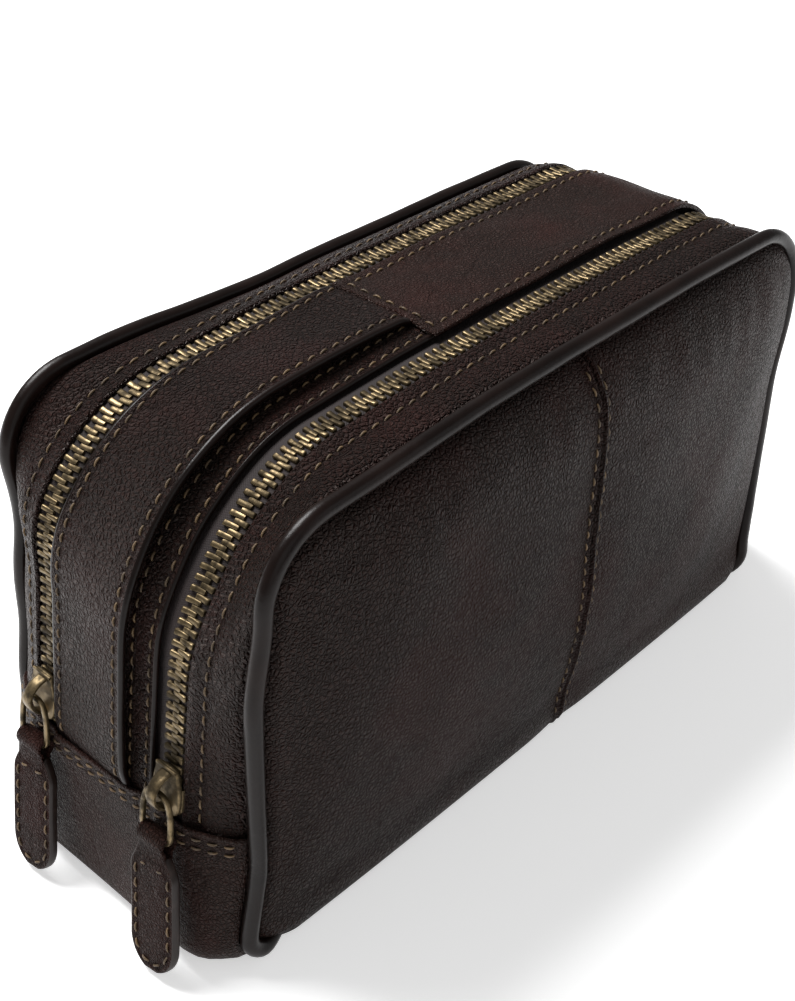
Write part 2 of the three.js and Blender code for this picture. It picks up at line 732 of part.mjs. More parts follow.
function makePull(label, side) {
  const station = nearStation(SLIDER_Z);
  const slider = new THREE.Group();
  slider.position.copy(outlinePoint(station, 0));
  slider.position.y = side * ZIP_Y;
  slider.rotation.y = LEAN_ANGLE;
  bag.add(slider);
  place(`${label}_slider`, makeSliderBody(), BRASS, slider);
  place(`${label}_slider_underplate`, makeUnderplate(), BRASS, slider);
  place(`${label}_pull_bail`, makeBail(), BRASS, slider);
  const tab = place(`${label}_pull_tab`, makeTab(), SMOOTH_LEATHER, slider);
  tab.position.set(-PULL_OFFSET, 0, -BAIL_LENGTH);
  tab.rotation.y = TAB_TILT;
}

// ---------------------------------------------------------------- assembly

makeBase();
makeDivider();
makeCentre();
makeStrap();
for (const [label, side] of [["front", -1], ["back", 1]]) {
  makeZip(label, side);
  makeSideBand(label, side);
  makePanel(label, side);
  makePiping(label, side);
  makeCompartmentLining(label, side);
  makePull(label, side);
}

export default bag;
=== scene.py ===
"""Shaving kit bag: two zipped compartments in dark leather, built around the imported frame."""

import math

import bmesh
import bpy
import numpy as np
from bpy.props import FloatProperty, FloatVectorProperty, PointerProperty
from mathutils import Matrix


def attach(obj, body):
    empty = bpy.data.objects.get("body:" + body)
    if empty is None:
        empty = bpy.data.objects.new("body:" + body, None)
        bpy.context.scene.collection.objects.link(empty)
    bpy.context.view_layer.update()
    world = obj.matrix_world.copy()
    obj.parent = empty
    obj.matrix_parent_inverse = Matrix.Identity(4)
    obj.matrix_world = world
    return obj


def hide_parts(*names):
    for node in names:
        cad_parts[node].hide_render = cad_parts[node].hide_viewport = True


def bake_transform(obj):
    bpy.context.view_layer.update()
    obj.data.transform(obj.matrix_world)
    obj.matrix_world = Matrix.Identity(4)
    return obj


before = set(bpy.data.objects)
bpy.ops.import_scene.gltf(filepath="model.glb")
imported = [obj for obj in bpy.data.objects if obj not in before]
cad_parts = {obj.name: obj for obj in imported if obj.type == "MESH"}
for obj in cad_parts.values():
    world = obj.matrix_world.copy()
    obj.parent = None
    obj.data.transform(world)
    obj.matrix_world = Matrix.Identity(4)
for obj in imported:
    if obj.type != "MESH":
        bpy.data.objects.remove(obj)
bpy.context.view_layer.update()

bl_info = {
    "name": "Shaving Kit Bag",
    "version": (1, 0, 0),
    "blender": (4, 5, 0),
    "location": "View3D > Sidebar > Kit Bag",
    "description": "Makes a leather shaving kit bag with two zipped compartments",
    "category": "Add Mesh",
}

MM = 0.001
SIDES = (("front", -1), ("back", 1))

# ------------------------------------------------------------ the bag's surface, in mm

# foot, lean, shoulder, top, floor, heel of the outline between the zips and along the piping,
# slumped at the near end and crisp at the far one
GUSSET_OUTLINE = (135.2, 0.1405, 52.9, 140.5, 2.0, 4.5)
PIPING_OUTLINE = (121.0, 0.028, 22.0, 139.5, 3.3, 9.0)
FAR_GUSSET_OUTLINE = (135.2, 0.1405, 27.0, 140.5, 2.0, 4.5)
FAR_PIPING_OUTLINE = (116.5, 0.0, 22.0, 139.5, 3.3, 9.0)
ROUNDING_START_Y = 28.0
PIPING_Y = 50.0
PIPING_RADIUS = 2.55
LEATHER = 1.6
LINING = 0.8
GAP = 0.4

STITCH_BED_WIDTH = 0.95
STITCH_BED_PITCH = 4.5
STITCH_SLANT = 0.10

WRAP_TOP_Z = 46.0
GUSSET_FOOT_Z = 30.0
CHANNEL_TOP_Z = 37.0
COVER_EDGE_X = -20.0
GUSSET_END_X = -8.0
SEAM_X = 6.0
CENTRE_FRONT_Y = -18.9
CENTRE_BACK_Y = 20.3
STRAP_FRONT_Y = -11.0
STRAP_BACK_Y = 20.3
STRAP_LAYER = 1.3
SIDE_BAND_Y = 30.7
SIDE_BAND_OUTER_Y = 48.2
SIDE_BAND_ROW_Y = 36.0
WRAP_HALF_WIDTH = 48.0
WRAP_ROWS = (2.3, 5.0)
GUSSET_ROWS = (-16.2, -9.4)
COVER_ROWS = (-16.6, 16.6)
PANEL_INSET = 1.4
LINING_INSET = 4.8
LINING_DEPTH = 4.2
COMPARTMENT_Y = (2.2, 44.0)
ZIP_Y = 26.5
SLIDER_Z = 55.0
PULL_OFFSET = 5.0
BAIL_LENGTH = 15.0
TAB_LENGTH = 40.5
TAB_NECK = 3.4
TAB_ROUNDING = 8.9
TAB_HALF_THICKNESS = 1.35
TAB_ROW_INSET = 2.4
TAB_TILT = math.radians(6)
TAB_SKEW = math.radians(8.5)

# A panel's fullness: how far it stands out, the height where it is fullest, and how far below
# and above that height it rolls in, with the power of each roll.
PANEL_BULGE = 11.2
PANEL_MID_Z = 95.0
PANEL_BELOW = (95.0, 2.3)
PANEL_ABOVE = (43.0, 4.8)
PANEL_ACROSS_POWER = 4.5


def smooth(value, low, high):
    """Zero below low, one above high, and an even curve between."""
    t = np.clip((value - low) / (high - low), 0, 1)
    return t * t * (3 - 2 * t)


def bell(distance, width):
    return np.exp(-((distance / width) ** 2))


def outline_at(y, far):
    t = np.clip((np.abs(y) - ROUNDING_START_Y) / (PIPING_Y - ROUNDING_START_Y), 0, 1)
    share = 1 - np.cos(t * math.pi / 2)
    near_pair, far_pair = (GUSSET_OUTLINE, PIPING_OUTLINE), (FAR_GUSSET_OUTLINE, FAR_PIPING_OUTLINE)
    near, beyond = ([g + (p - g) * share for g, p in zip(*pair)] for pair in (near_pair, far_pair))
    return [np.where(far, b, n) for n, b in zip(near, beyond)]


def piping_outline(x):
    """The outline that the piping follows on the side of the bag where x lies."""
    return outline_at(np.full_like(x, PIPING_Y), x > 0)


def inset(outline, by):
    foot, lean, shoulder, top, floor, heel = outline
    return (foot - by, lean, shoulder - by, top - by, floor + by, heel - by)


def arc_centres(outline):
    foot, lean, shoulder, top, floor, heel = outline
    slope = np.hypot(1, lean)
    shoulder_z = top - shoulder
    heel_z = floor + heel
    shoulder_x = foot - lean * shoulder_z - shoulder * slope
    heel_x = foot - lean * heel_z - heel * slope
    return slope, shoulder_x, shoulder_z, heel_x, heel_z


def outside_by(outline, x, z):
    """How far a point, x measured outward from the middle, lies outside an outline."""
    foot, lean, shoulder, top, floor, heel = outline
    slope, shoulder_x, shoulder_z, heel_x, heel_z = arc_centres(outline)
    sx, sz, hx, hz = x - shoulder_x, z - shoulder_z, x - heel_x, z - heel_z
    flat = np.maximum(np.maximum((x + lean * z - foot) / slope, z - top), floor - z)
    near_shoulder = (sx > 0) & (sz > lean * sx)
    near_heel = (hx > 0) & (hz < lean * hx)
    round_heel = np.where(near_heel, np.hypot(hx, hz) - heel, flat)
    return np.where(near_shoulder, np.hypot(sx, sz) - shoulder, round_heel)


def half_width_at(outline, z):
    foot, lean, shoulder, top, floor, heel = outline
    _, shoulder_x, shoulder_z, heel_x, heel_z = arc_centres(outline)
    end = foot - lean * z
    over = shoulder_x + np.sqrt(np.maximum(0, shoulder**2 - (z - shoulder_z) ** 2))
    under = heel_x + np.sqrt(np.maximum(0, heel**2 - (heel_z - z) ** 2))
    end = np.where(z > shoulder_z, np.minimum(end, over), end)
    return np.where(z < heel_z, np.minimum(end, under), end)


LEAN_ANGLE = math.atan(GUSSET_OUTLINE[1])
HEEL_PIVOT = (100.0, 36.0)
SHOULDER_PIVOT = tuple(arc_centres(GUSSET_OUTLINE)[1:3])
END_RAY_TOP = SHOULDER_PIVOT[1] - (SHOULDER_PIVOT[0] - HEEL_PIVOT[0]) * GUSSET_OUTLINE[1]
SEGMENTS = np.array([
    HEEL_PIVOT[0],
    HEEL_PIVOT[1] * math.pi / 2,
    END_RAY_TOP - HEEL_PIVOT[1],
    GUSSET_OUTLINE[2] * (math.pi / 2 - LEAN_ANGLE),
    SHOULDER_PIVOT[0],
])
SEGMENT_STARTS = np.concatenate([[0.0], np.cumsum(SEGMENTS)])
HALF_ROUND = SEGMENT_STARTS[-1]


def rays(station):
    """Where a station's ray starts and which way it points, for stations on the near half."""
    k = np.clip(np.searchsorted(SEGMENT_STARTS, station, side="left") - 1, 0, 4)
    rest = station - SEGMENT_STARTS[k]
    part = rest / SEGMENTS[k]
    quarter = math.pi / 2
    heel_x, heel_z = HEEL_PIVOT
    shoulder_x, shoulder_z = SHOULDER_PIVOT
    x = np.choose(k, [rest, heel_x, heel_x, shoulder_x, shoulder_x - rest])
    z = np.choose(k, [heel_z, heel_z, heel_z + rest, shoulder_z, shoulder_z])
    over = LEAN_ANGLE + (quarter - LEAN_ANGLE) * part
    angle = np.choose(k, [-quarter, -quarter * (1 - part), LEAN_ANGLE * part, over, quarter])
    return x, z, angle


def outline_point(station, y):
    station, y = np.broadcast_arrays(np.asarray(station, float), np.asarray(y, float))
    far = (station > HALF_ROUND) | (station < 0)
    folded = np.where(station > HALF_ROUND, 2 * HALF_ROUND - station, np.abs(station))
    x, z, angle = rays(folded)
    outline = outline_at(y, far)
    low, high = np.zeros_like(x), np.full_like(x, 150.0)
    for _ in range(30):
        mid = (low + high) / 2
        out = outside_by(outline, x + mid * np.cos(angle), z + mid * np.sin(angle)) > 0
        high = np.where(out, mid, high)
        low = np.where(out, low, mid)
    outward = x + low * np.cos(angle)
    return np.stack([np.where(far, outward, -outward), y, z + low * np.sin(angle)], -1)


def surface(station, y, height):
    """The point at a station and a y, raised by height along the outward normal."""
    station, y, height = np.broadcast_arrays(
        np.asarray(station, float), np.asarray(y, float), np.asarray(height, float)
    )
    along = outline_point(station + 0.5, y) - outline_point(station - 0.5, y)
    across = outline_point(station, y + 0.25) - outline_point(station, y - 0.25)
    normal = np.cross(along, across)
    normal /= np.linalg.norm(normal, axis=-1, keepdims=True)
    return outline_point(station, y) + normal * height[..., None]


def near_station(z):
    low, high = SEGMENTS[0], HALF_ROUND - SEGMENTS[4]
    for _ in range(30):
        mid = (low + high) / 2
        if outline_point(mid, 0)[2] < z:
            low = mid
        else:
            high = mid
    return low


def far_station(z):
    return 2 * HALF_ROUND - near_station(z)


def top_station(x):
    return HALF_ROUND + x


# How far the top sags or rises at places along the bag.
TOP_SAG = ((-125, -3.4), (-100, -3.2), (-77, -2.4), (-33, 0.3), (0, 1.3), (62, 1.4), (98, 0.6), (125, -0.8))


def settle(points):
    """The slump of worn leather: the shoulders lean to one side and the top sags to its near end."""
    x, y, z = points[..., 0], points[..., 1], points[..., 2]
    across = np.clip(-y / ZIP_Y, -1, 1)
    by_piping = smooth(np.abs(y), 36, 50)
    lean = 4.0 * smooth(z, 88, 120) * smooth(-x, 62, 100) * across
    drawn_in = 2.6 + 4.6 * smooth(z, 74, 112)
    drawn_in = drawn_in * smooth(y, 34, 50) * smooth(z, 40, 66) * smooth(-x, 50, 95)
    splay = -4.6 * smooth(-z, -40, -6) * smooth(np.abs(y), 29, 44) * smooth(-x, 92, 116)
    waist = (-2.0 + 4.4 * smooth(z, 80, 110)) * by_piping * smooth(x, 60, 100) * smooth(z, 4, 18)
    high = smooth(z, 84, 134)
    sag = high * np.interp(x, *np.transpose(TOP_SAG))
    back_edge = -6.3 * smooth(x, -85, -15) * smooth(y, 33, 50) * smooth(z, 100, 139)
    ripple = smooth(z, 66, 92)
    dy = ripple * 0.15 * np.sin(x / 23.0 + 0.7) * np.sin(z / 27.0 + 1.1)
    dz = sag + back_edge + high * 0.14 * np.sin(x / 17.0 + y / 23.0)
    dx = lean + drawn_in + splay + waist + ripple * 0.15 * np.sin(y / 13.0 + z / 21.0)
    return points + np.stack([dx, dy, dz], -1)


# ------------------------------------------------------------ mesh making


def finish_mesh(name, verts, faces, materials, marks=None, face_materials=None, soft=True, sharp=38):
    """A mesh object from millimetre points, settled with the leather when it is soft."""
    verts = np.asarray(verts, float).reshape(-1, 3)
    if soft:
        verts = settle(verts)
    mesh = bpy.data.meshes.new(name)
    mesh.from_pydata((verts * MM).tolist(), [], faces)
    for look in materials:
        mesh.materials.append(look)
    if face_materials is not None:
        mesh.polygons.foreach_set("material_index", np.asarray(face_materials, dtype=np.int32))
    for mark, values in (marks or {}).items():
        layer = mesh.attributes.new(mark, "FLOAT", "POINT")
        layer.data.foreach_set("value", np.asarray(values, dtype=np.float32).ravel())
    work = bmesh.new()
    work.from_mesh(mesh)
    bmesh.ops.recalc_face_normals(work, faces=work.faces)
    work.to_mesh(mesh)
    work.free()
    mesh.polygons.foreach_set("use_smooth", np.ones(len(mesh.polygons), dtype=bool))
    mesh.set_sharp_from_angle(angle=math.radians(sharp))
    piece = bpy.data.objects.new(name, mesh)
    bpy.context.scene.collection.objects.link(piece)
    return piece


def loft_faces(count, around, closed=False, start=0):
    """Faces of a loft through count rings of around points each."""
    faces = []
    for i in range(count if closed else count - 1):
        a, b = start + i * around, start + ((i + 1) % count) * around
        for j in range(around):
            k = (j + 1) % around
            faces.append((a + j, a + k, b + k, b + j))
    if not closed:
        faces.append(tuple(range(start, start + around))[::-1])
        last = start + (count - 1) * around
        faces.append(tuple(range(last, last + around)))
    return faces


def many_lofts(rings):
    """Faces for separate small lofts, rings shaped (pieces, rings, around, 3)."""
    pieces, count, around = rings.shape[:3]
    return [f for i in range(pieces) for f in loft_faces(count, around, start=i * count * around)]


def closed_sheet(outer, inner):
    """Points and faces of a closed sheet between two grids of points."""
    rows, columns = outer.shape[:2]
    size = rows * columns
    at = np.arange(size).reshape(rows, columns)
    faces = []
    for shift, flip in ((0, False), (size, True)):
        quads = np.stack([at[:-1, :-1], at[1:, :-1], at[1:, 1:], at[:-1, 1:]], -1)
        quads = quads.reshape(-1, 4) + shift
        faces += (quads[:, ::-1] if flip else quads).tolist()
    rim = np.concatenate([at[0, :], at[1:, -1], at[-1, -2::-1], at[-2:0:-1, 0]])
    following = np.roll(rim, -1)
    faces += np.stack([rim, following, following + size, rim + size], -1).tolist()
    return np.concatenate([outer.reshape(-1, 3), inner.reshape(-1, 3)]), faces


def samples(low, high, step, edge=0.7, marks=()):
    """Places from low to high, dense at both ends and about each mark."""
    places = list(np.linspace(low, high, max(2, int((high - low) / step) + 1)))
    for part in (0.0, 0.08, 0.3, 0.65, 1.0):
        places += [low + part * edge, high - part * edge]
    for mark in marks:
        places += [mark - 1.1, mark - 0.5, mark, mark + 0.5, mark + 1.1]
    kept = []
    for place in sorted(p for p in places if low - 1e-6 <= p <= high + 1e-6):
        if not kept or place - kept[-1] > 0.04:
            kept.append(place)
    kept[-1] = high
    return np.array(kept)


def turned(distance, radius):
    """How far a leather's face drops toward its turned edge."""
    inside = np.clip(radius - distance, 0, radius)
    return radius - np.sqrt(np.maximum(0, radius**2 - inside**2))


def stitch_bed(distance, along):
    """How hard leather is pressed near a stitch row, which also weights the painted shade along it, and how
    deep the stitches sink it.
    """
    press = bell(distance, STITCH_BED_WIDTH)
    return press, press * (0.30 + 0.10 * np.cos(2 * math.pi * along / STITCH_BED_PITCH))


def band(name, start, end, y0, y1, outer, look, thickness=LEATHER, rows=(), cross_rows=(), step=1.1,
         shape=None, edge=0.75, edge_look=None, edge_width=0.8):
    """A leather band round the bag.  Rows are the y of stitch lines and cross_rows their stations."""
    stations = samples(start, end, step, edge, cross_rows)
    ys = samples(y0, y1, 2.4, edge, rows)
    s, y = np.meshgrid(stations, ys, indexing="ij")
    reach = np.minimum(np.minimum(s - start, end - s), np.minimum(y - y0, y1 - y))
    press = np.zeros_like(s)
    dimple = np.zeros_like(s)
    for distance, along in [(y - row, s) for row in rows] + [(s - row, y) for row in cross_rows]:
        near, depth = stitch_bed(distance, along)
        press = np.maximum(press, near)
        dimple += depth
    top = outer - dimple + (shape(s, y) if shape else 0.0)
    bottom = outer - thickness + (shape(s, y) if shape else 0.0)
    drop = turned(reach, min(edge, thickness * 0.46))
    verts, faces = closed_sheet(surface(s, y, top - drop), surface(s, y, bottom + drop))
    rub = np.clip(1 - reach / 1.8, 0, 1)
    # The pressed mark along each stitch row is painted shade: the leather shader darkens the colour there.
    marks = {"rub": np.concatenate([rub.ravel(), rub.ravel()]),
             "press": np.concatenate([press.ravel(), np.zeros(press.size)])}
    looks, which = [look], None
    if edge_look:
        looks.append(edge_look)
        depth = np.concatenate([reach.ravel(), reach.ravel()])
        which = [1 if max(depth[i] for i in face) < edge_width else 0 for face in faces]
    return finish_mesh(name, verts, faces, looks, marks, which)


def stitches(name, rows, look, length, pitch, thickness, soft=True):
    """Sewn rows.  Each row is (point_at, start, end), point_at taking a place and a height."""
    rings_at = np.array([-0.5, -0.42, -0.2, 0.0, 0.2, 0.42, 0.5])
    girth = np.array([0.35, 0.8, 1.0, 1.05, 1.0, 0.8, 0.35])
    rise = np.array([-0.45, -0.05, 0.16, 0.22, 0.16, -0.05, -0.45])
    around = np.arange(6) * math.pi / 3
    every = []
    for point_at, start, end in rows:
        fine = np.linspace(start, end, max(8, int(abs(end - start) * 2)))
        path = point_at(fine, np.zeros_like(fine))
        run = np.concatenate([[0], np.cumsum(np.linalg.norm(np.diff(path, axis=0), axis=1))])
        count = max(1, int(run[-1] / pitch))
        places = np.interp((np.arange(count) + 0.5) * run[-1] / count, run, fine)
        centre = point_at(places, np.zeros_like(places))
        flat = np.zeros_like(places)
        ahead = point_at(places + 0.4, flat) - point_at(places - 0.4, flat)
        up = point_at(places, np.ones_like(places)) - centre
        ahead /= np.linalg.norm(ahead, axis=1, keepdims=True)
        beside = np.cross(up, ahead)
        beside /= np.linalg.norm(beside, axis=1, keepdims=True)
        up = np.cross(ahead, beside)
        slanted = (ahead + STITCH_SLANT * beside)[:, None, None, :]
        along = slanted * (rings_at * length)[None, :, None, None]
        lifted = up[:, None, None, :] * (rise * thickness * 2)[None, :, None, None]
        wide = girth[:, None] * thickness / 2
        ring = (beside[:, None, None, :] * (np.cos(around) * wide)[None, :, :, None]
                + up[:, None, None, :] * (np.sin(around) * wide)[None, :, :, None])
        every.append(centre[:, None, None, :] + along + lifted + ring)
    rings = np.concatenate(every)
    return finish_mesh(name, rings, many_lofts(rings), [look], soft=soft, sharp=80)


def shell_piece(piece, label, *nodes, slot):
    """Hides the frame's parts that a soft piece replaces and bakes its placing into its points."""
    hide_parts(*nodes)
    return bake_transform(piece)


def fixed_piece(piece, body, *nodes, slot):
    if nodes:
        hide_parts(*nodes)
    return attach(piece, body)


# ------------------------------------------------------------ shader building


class Value:
    """A shader socket that takes part in Python arithmetic."""

    def __init__(self, finish, socket):
        self.finish = finish
        self.socket = socket

    def math(self, operation, *others):
        node = self.finish.node("ShaderNodeMath", {"operation": operation}, dict(enumerate(others)))
        return Value(self.finish, node.outputs[0])

    def __add__(self, other):
        return self.math("ADD", self, other)

    __radd__ = __add__

    def __sub__(self, other):
        return self.math("SUBTRACT", self, other)

    def __rsub__(self, other):
        return self.math("SUBTRACT", other, self)

    def __mul__(self, other):
        return self.math("MULTIPLY", self, other)

    __rmul__ = __mul__

    def sin(self):
        return self.math("SINE", self)

    def size(self):
        return self.math("ABSOLUTE", self)

    def between(self, low, high):
        """Zero below low, one above high, smooth between."""
        node = self.finish.node("ShaderNodeMapRange", {"interpolation_type": "SMOOTHSTEP"},
                                {"Value": self, "From Min": low, "From Max": high})
        return Value(self.finish, node.outputs[0])


class Finish:
    """A node material for one kind of leather, cloth, thread or metal."""

    def __init__(self, name):
        self.material = bpy.data.materials.new(name)
        self.material.use_nodes = True
        self.tree = self.material.node_tree
        self.tree.nodes.clear()
        self.place = Value(self, self.node("ShaderNodeTexCoord").outputs["Object"])

    def node(self, kind, settings=None, inputs=None):
        node = self.tree.nodes.new(kind)
        for setting, value in (settings or {}).items():
            setattr(node, setting, value)
        for key, value in (inputs or {}).items():
            socket = node.inputs[key]
            if isinstance(value, Value):
                self.tree.links.new(value.socket, socket)
            else:
                socket.default_value = value
        return node

    def noise(self, scale, detail=3.0, roughness=0.55, place=None):
        node = self.node("ShaderNodeTexNoise", None, {
            "Vector": place or self.place, "Scale": scale, "Detail": detail, "Roughness": roughness})
        return Value(self, node.outputs["Fac"])

    def wobbled(self, scale, amount):
        """The place on the object, pushed about by noise."""
        noise = self.node("ShaderNodeTexNoise", None,
                          {"Vector": self.place, "Scale": scale, "Detail": 2.0})
        push = self.node("ShaderNodeVectorMath", {"operation": "MULTIPLY_ADD"},
                         {0: Value(self, noise.outputs["Color"]), 1: (amount,) * 3, 2: self.place})
        return Value(self, push.outputs[0])

    def cells(self, scale, place):
        node = self.node("ShaderNodeTexVoronoi", {"feature": "DISTANCE_TO_EDGE"},
                         {"Vector": place, "Scale": scale})
        return Value(self, node.outputs["Distance"])

    def mark(self, name):
        node = self.node("ShaderNodeAttribute", {"attribute_name": name})
        return Value(self, node.outputs["Fac"])

    def axis(self, name):
        node = self.node("ShaderNodeSeparateXYZ", None, {0: self.place})
        return Value(self, node.outputs[name])

    def mix(self, factor, first, second):
        """Colours blended by a factor."""
        colour = [c if isinstance(c, Value) else (*c, 1.0)[:4] for c in (first, second)]
        node = self.node("ShaderNodeMix", {"data_type": "RGBA"},
                         {0: factor, 6: colour[0], 7: colour[1]})
        return Value(self, node.outputs[2])

    def close(self, colour, roughness, height=None, relief=0.0003, strength=0.6, **constants):
        """The Principled shader over a bump, with what is constant set on its own sockets."""
        inputs = {"Base Color": colour, "Roughness": roughness}
        if height is not None:
            bump = self.node("ShaderNodeBump", None,
                             {"Height": height, "Distance": relief, "Strength": strength})
            inputs["Normal"] = Value(self, bump.outputs[0])
        inputs.update({key.replace("_", " "): value for key, value in constants.items()})
        shader = self.node("ShaderNodeBsdfPrincipled", None, inputs)
        self.node("ShaderNodeOutputMaterial", None, {"Surface": Value(self, shader.outputs[0])})
        return self.material


WARM_SHEEN = (1.0, 0.86, 0.80, 1.0)


def leather(name, tone, grain, relief, roughness, specular, crease=0.0):
    """Dyed cowhide: pebbles of a size, darker in their creases, rubbed brighter along edges, with painted
    shade darkening its stitch grooves.
    """
    finish = Finish(name)
    place = finish.wobbled(0.45 / grain, grain * 1.1)
    pebble = finish.cells(1 / grain, place).between(0.015, 0.24)
    second = finish.cells(1.9 / grain, place).between(0.01, 0.3)
    pores = finish.noise(5.5 / grain, 2.0)
    blotch = finish.noise(26.0, 4.0, 0.6)
    patch = finish.noise(110.0, 3.0)
    rub = finish.mark("rub")
    press = finish.mark("press")
    deep = tuple(c * 0.30 for c in tone)
    worn = tuple(c * 1.9 + 0.006 for c in tone)
    red = (tone[0] * 1.45, tone[1] * 0.92, tone[2] * 0.95)
    colour = finish.mix(pebble * 0.7 + second * 0.3, deep, tone)
    colour = finish.mix(blotch.between(0.42, 0.66) * 0.55, colour, red)
    colour = finish.mix(rub * 0.35 * patch.between(0.3, 0.7), colour, worn)
    # Painted shade: the leather darkened toward the crease colour in the grooves along stitch rows, the seam
    # and the piping.
    colour = finish.mix(press * 0.45, colour, deep)
    gloss = roughness + 0.16 * (1 - pebble) + 0.16 * (patch - 0.5) - 0.10 * rub + 0.10 * (blotch - 0.5)
    height = pebble + second * 0.28 + pores * 0.22
    if crease:
        vein = finish.noise(38.0, 3.0, 0.5, finish.wobbled(18.0, 0.02))
        fold = (vein - 0.5).size().between(0.0, 0.035)
        height = height + (fold - 1) * crease
    return finish.close(colour, gloss, height, relief, 1.0, Specular_IOR_Level=specular,
                        Specular_Tint=WARM_SHEEN)


def piping_leather(name, tone):
    """Thin glossy leather drawn tight over a cord."""
    finish = Finish(name)
    fine = finish.noise(900.0, 3.0)
    blotch = finish.noise(45.0, 3.0)
    pull = finish.noise(160.0, 2.0)
    deep = tuple(c * 0.5 for c in tone)
    colour = finish.mix(blotch.between(0.35, 0.7), deep, tone)
    gloss = 0.32 + 0.2 * (blotch - 0.5) + 0.12 * (fine - 0.5)
    return finish.close(colour, gloss, fine * 0.5 + pull, 0.00022, 0.5, Specular_IOR_Level=0.16)


def edge_paint(name, tone):
    """Burnished paint over cut leather."""
    finish = Finish(name)
    wave = finish.noise(420.0, 3.0)
    chip = finish.noise(150.0, 4.0)
    colour = finish.mix(chip.between(0.5, 0.72), tone, tuple(c * 2.1 + 0.004 for c in tone))
    return finish.close(colour, 0.3 + 0.2 * wave, wave, 0.0002, 0.4, Specular_IOR_Level=0.25)


def twisted_thread(name, tone):
    """Waxed thread, laid in a twist."""
    finish = Finish(name)
    along = finish.axis("X") + finish.axis("Y") * 0.8 + finish.axis("Z") * 1.2
    lay = (along * 9000.0).sin() * 0.5 + 0.5
    grime = finish.noise(140.0, 3.0)
    dark = tuple(c * 0.34 for c in tone)
    colour = finish.mix(grime.between(0.34, 0.66) * 0.8 + lay * 0.2, dark, tone)
    return finish.close(colour, 0.62 + 0.15 * (lay - 0.5), lay, 0.0001, 0.5)


def antique_brass(name, tone, share=1.0):
    """Cast brass with a brown patina left in the low places."""
    finish = Finish(name)
    tone = tuple(c * share for c in tone)
    patina = finish.noise(300.0, 4.0, 0.6)
    scratch = finish.noise(1900.0, 2.0)
    broad = finish.noise(70.0, 2.0)
    dark = tuple(c * 0.22 for c in tone)
    cover = (patina * 0.6 + broad * 0.4).between(0.40, 0.60)
    colour = finish.mix(cover, dark, tone)
    gloss = 0.36 + 0.28 * (1 - cover) + 0.15 * (scratch - 0.5)
    return finish.close(colour, gloss, patina + scratch * 0.3, 0.00012, 0.5, Metallic=0.92)


def woven_cloth(name, tone, pitch):
    """Cloth with warp and weft at a pitch."""
    finish = Finish(name)
    turn = 2 * math.pi / pitch
    warp = (finish.axis("X") * turn + finish.axis("Z") * turn).sin()
    weft = (finish.axis("Y") * turn + finish.axis("Z") * turn * 0.5).sin()
    weave = warp * weft * 0.5 + 0.5
    fuzz = finish.noise(2.2 / pitch, 3.0)
    shade = finish.noise(35.0, 3.0)
    dark = tuple(c * 0.45 for c in tone)
    colour = finish.mix(weave * 0.6 + fuzz * 0.4, dark, tone)
    colour = finish.mix(shade.between(0.4, 0.7) * 0.4, colour, tuple(c * 1.5 for c in tone))
    return finish.close(colour, 0.82 + 0.12 * (fuzz - 0.5), weave + fuzz * 0.5, 0.0002, 0.6)


def pressed_board(name, tone):
    """Grey-brown fibre board."""
    finish = Finish(name)
    fibre = finish.noise(700.0, 4.0)
    spots = finish.noise(90.0, 3.0)
    colour = finish.mix(fibre * 0.6 + spots * 0.4, tuple(c * 0.55 for c in tone), tone)
    return finish.close(colour, 0.9 - 0.1 * fibre, fibre, 0.0002, 0.5)


def studio_floor(name, tone):
    """Plain pale matt floor."""
    finish = Finish(name)
    grain = finish.noise(30.0, 2.0)
    colour = finish.mix(grain, tone, tuple(c * 0.99 for c in tone))
    return finish.close(colour, 0.85, None, Emission_Color=(1, 1, 1, 1), Emission_Strength=0.5)


# ------------------------------------------------------------ settings


def colour_property(name, description, value):
    return FloatVectorProperty(name=name, description=description, subtype="COLOR", size=3,
                               min=0.0, max=1.0, default=value)


def size_property(name, description, value, low, high):
    return FloatProperty(name=name, description=description, default=value, min=low, max=high,
                         subtype="DISTANCE", unit="LENGTH")


class KitBagColours(bpy.types.PropertyGroup):
    """Colours of the leathers, cloths and metals."""

    pebbled: colour_property("Pebbled leather", "Dye of bands, strap and panels", (0.0200, 0.0082, 0.0062))
    plain: colour_property("Plain leather", "Dye of base wrap, cover and tabs", (0.0220, 0.0094, 0.0070))
    piping: colour_property("Piping", "Dye of the leather over the cord", (0.0088, 0.0042, 0.0032))
    paint: colour_property("Edge paint", "Paint on the strap's cut edges", (0.012, 0.0065, 0.005))
    thread: colour_property("Thread", "Sewing thread", (0.125, 0.074, 0.029))
    brass: colour_property("Brass", "Brass of the teeth, sliders and rings", (0.165, 0.122, 0.066))
    tape: colour_property("Zip tape", "Woven tape of the zips", (0.0095, 0.0030, 0.0026))
    lining: colour_property("Lining", "Cloth inside the compartments", (0.045, 0.034, 0.028))
    board: colour_property("Board", "Stiffener in the base", (0.20, 0.15, 0.10))
    floor: colour_property("Floor", "Plain floor under the bag", (0.86, 0.86, 0.86))


class KitBagSizes(bpy.types.PropertyGroup):
    """Sizes that a maker would change."""

    stitch: size_property("Stitch length", "Length of a visible stitch", 0.0031, 0.001, 0.006)
    pitch: size_property("Stitch pitch", "Distance from one stitch to the next", 0.0045, 0.0015, 0.008)
    thread: size_property("Thread", "Thickness of the thread", 0.00066, 0.0002, 0.0015)
    tooth_pitch: size_property("Tooth pitch", "Distance between teeth on one side", 0.0031, 0.002, 0.006)
    strap_lift: size_property("Strap lift", "How far the strap's front edge stands off", 0.0030, 0.0, 0.006)


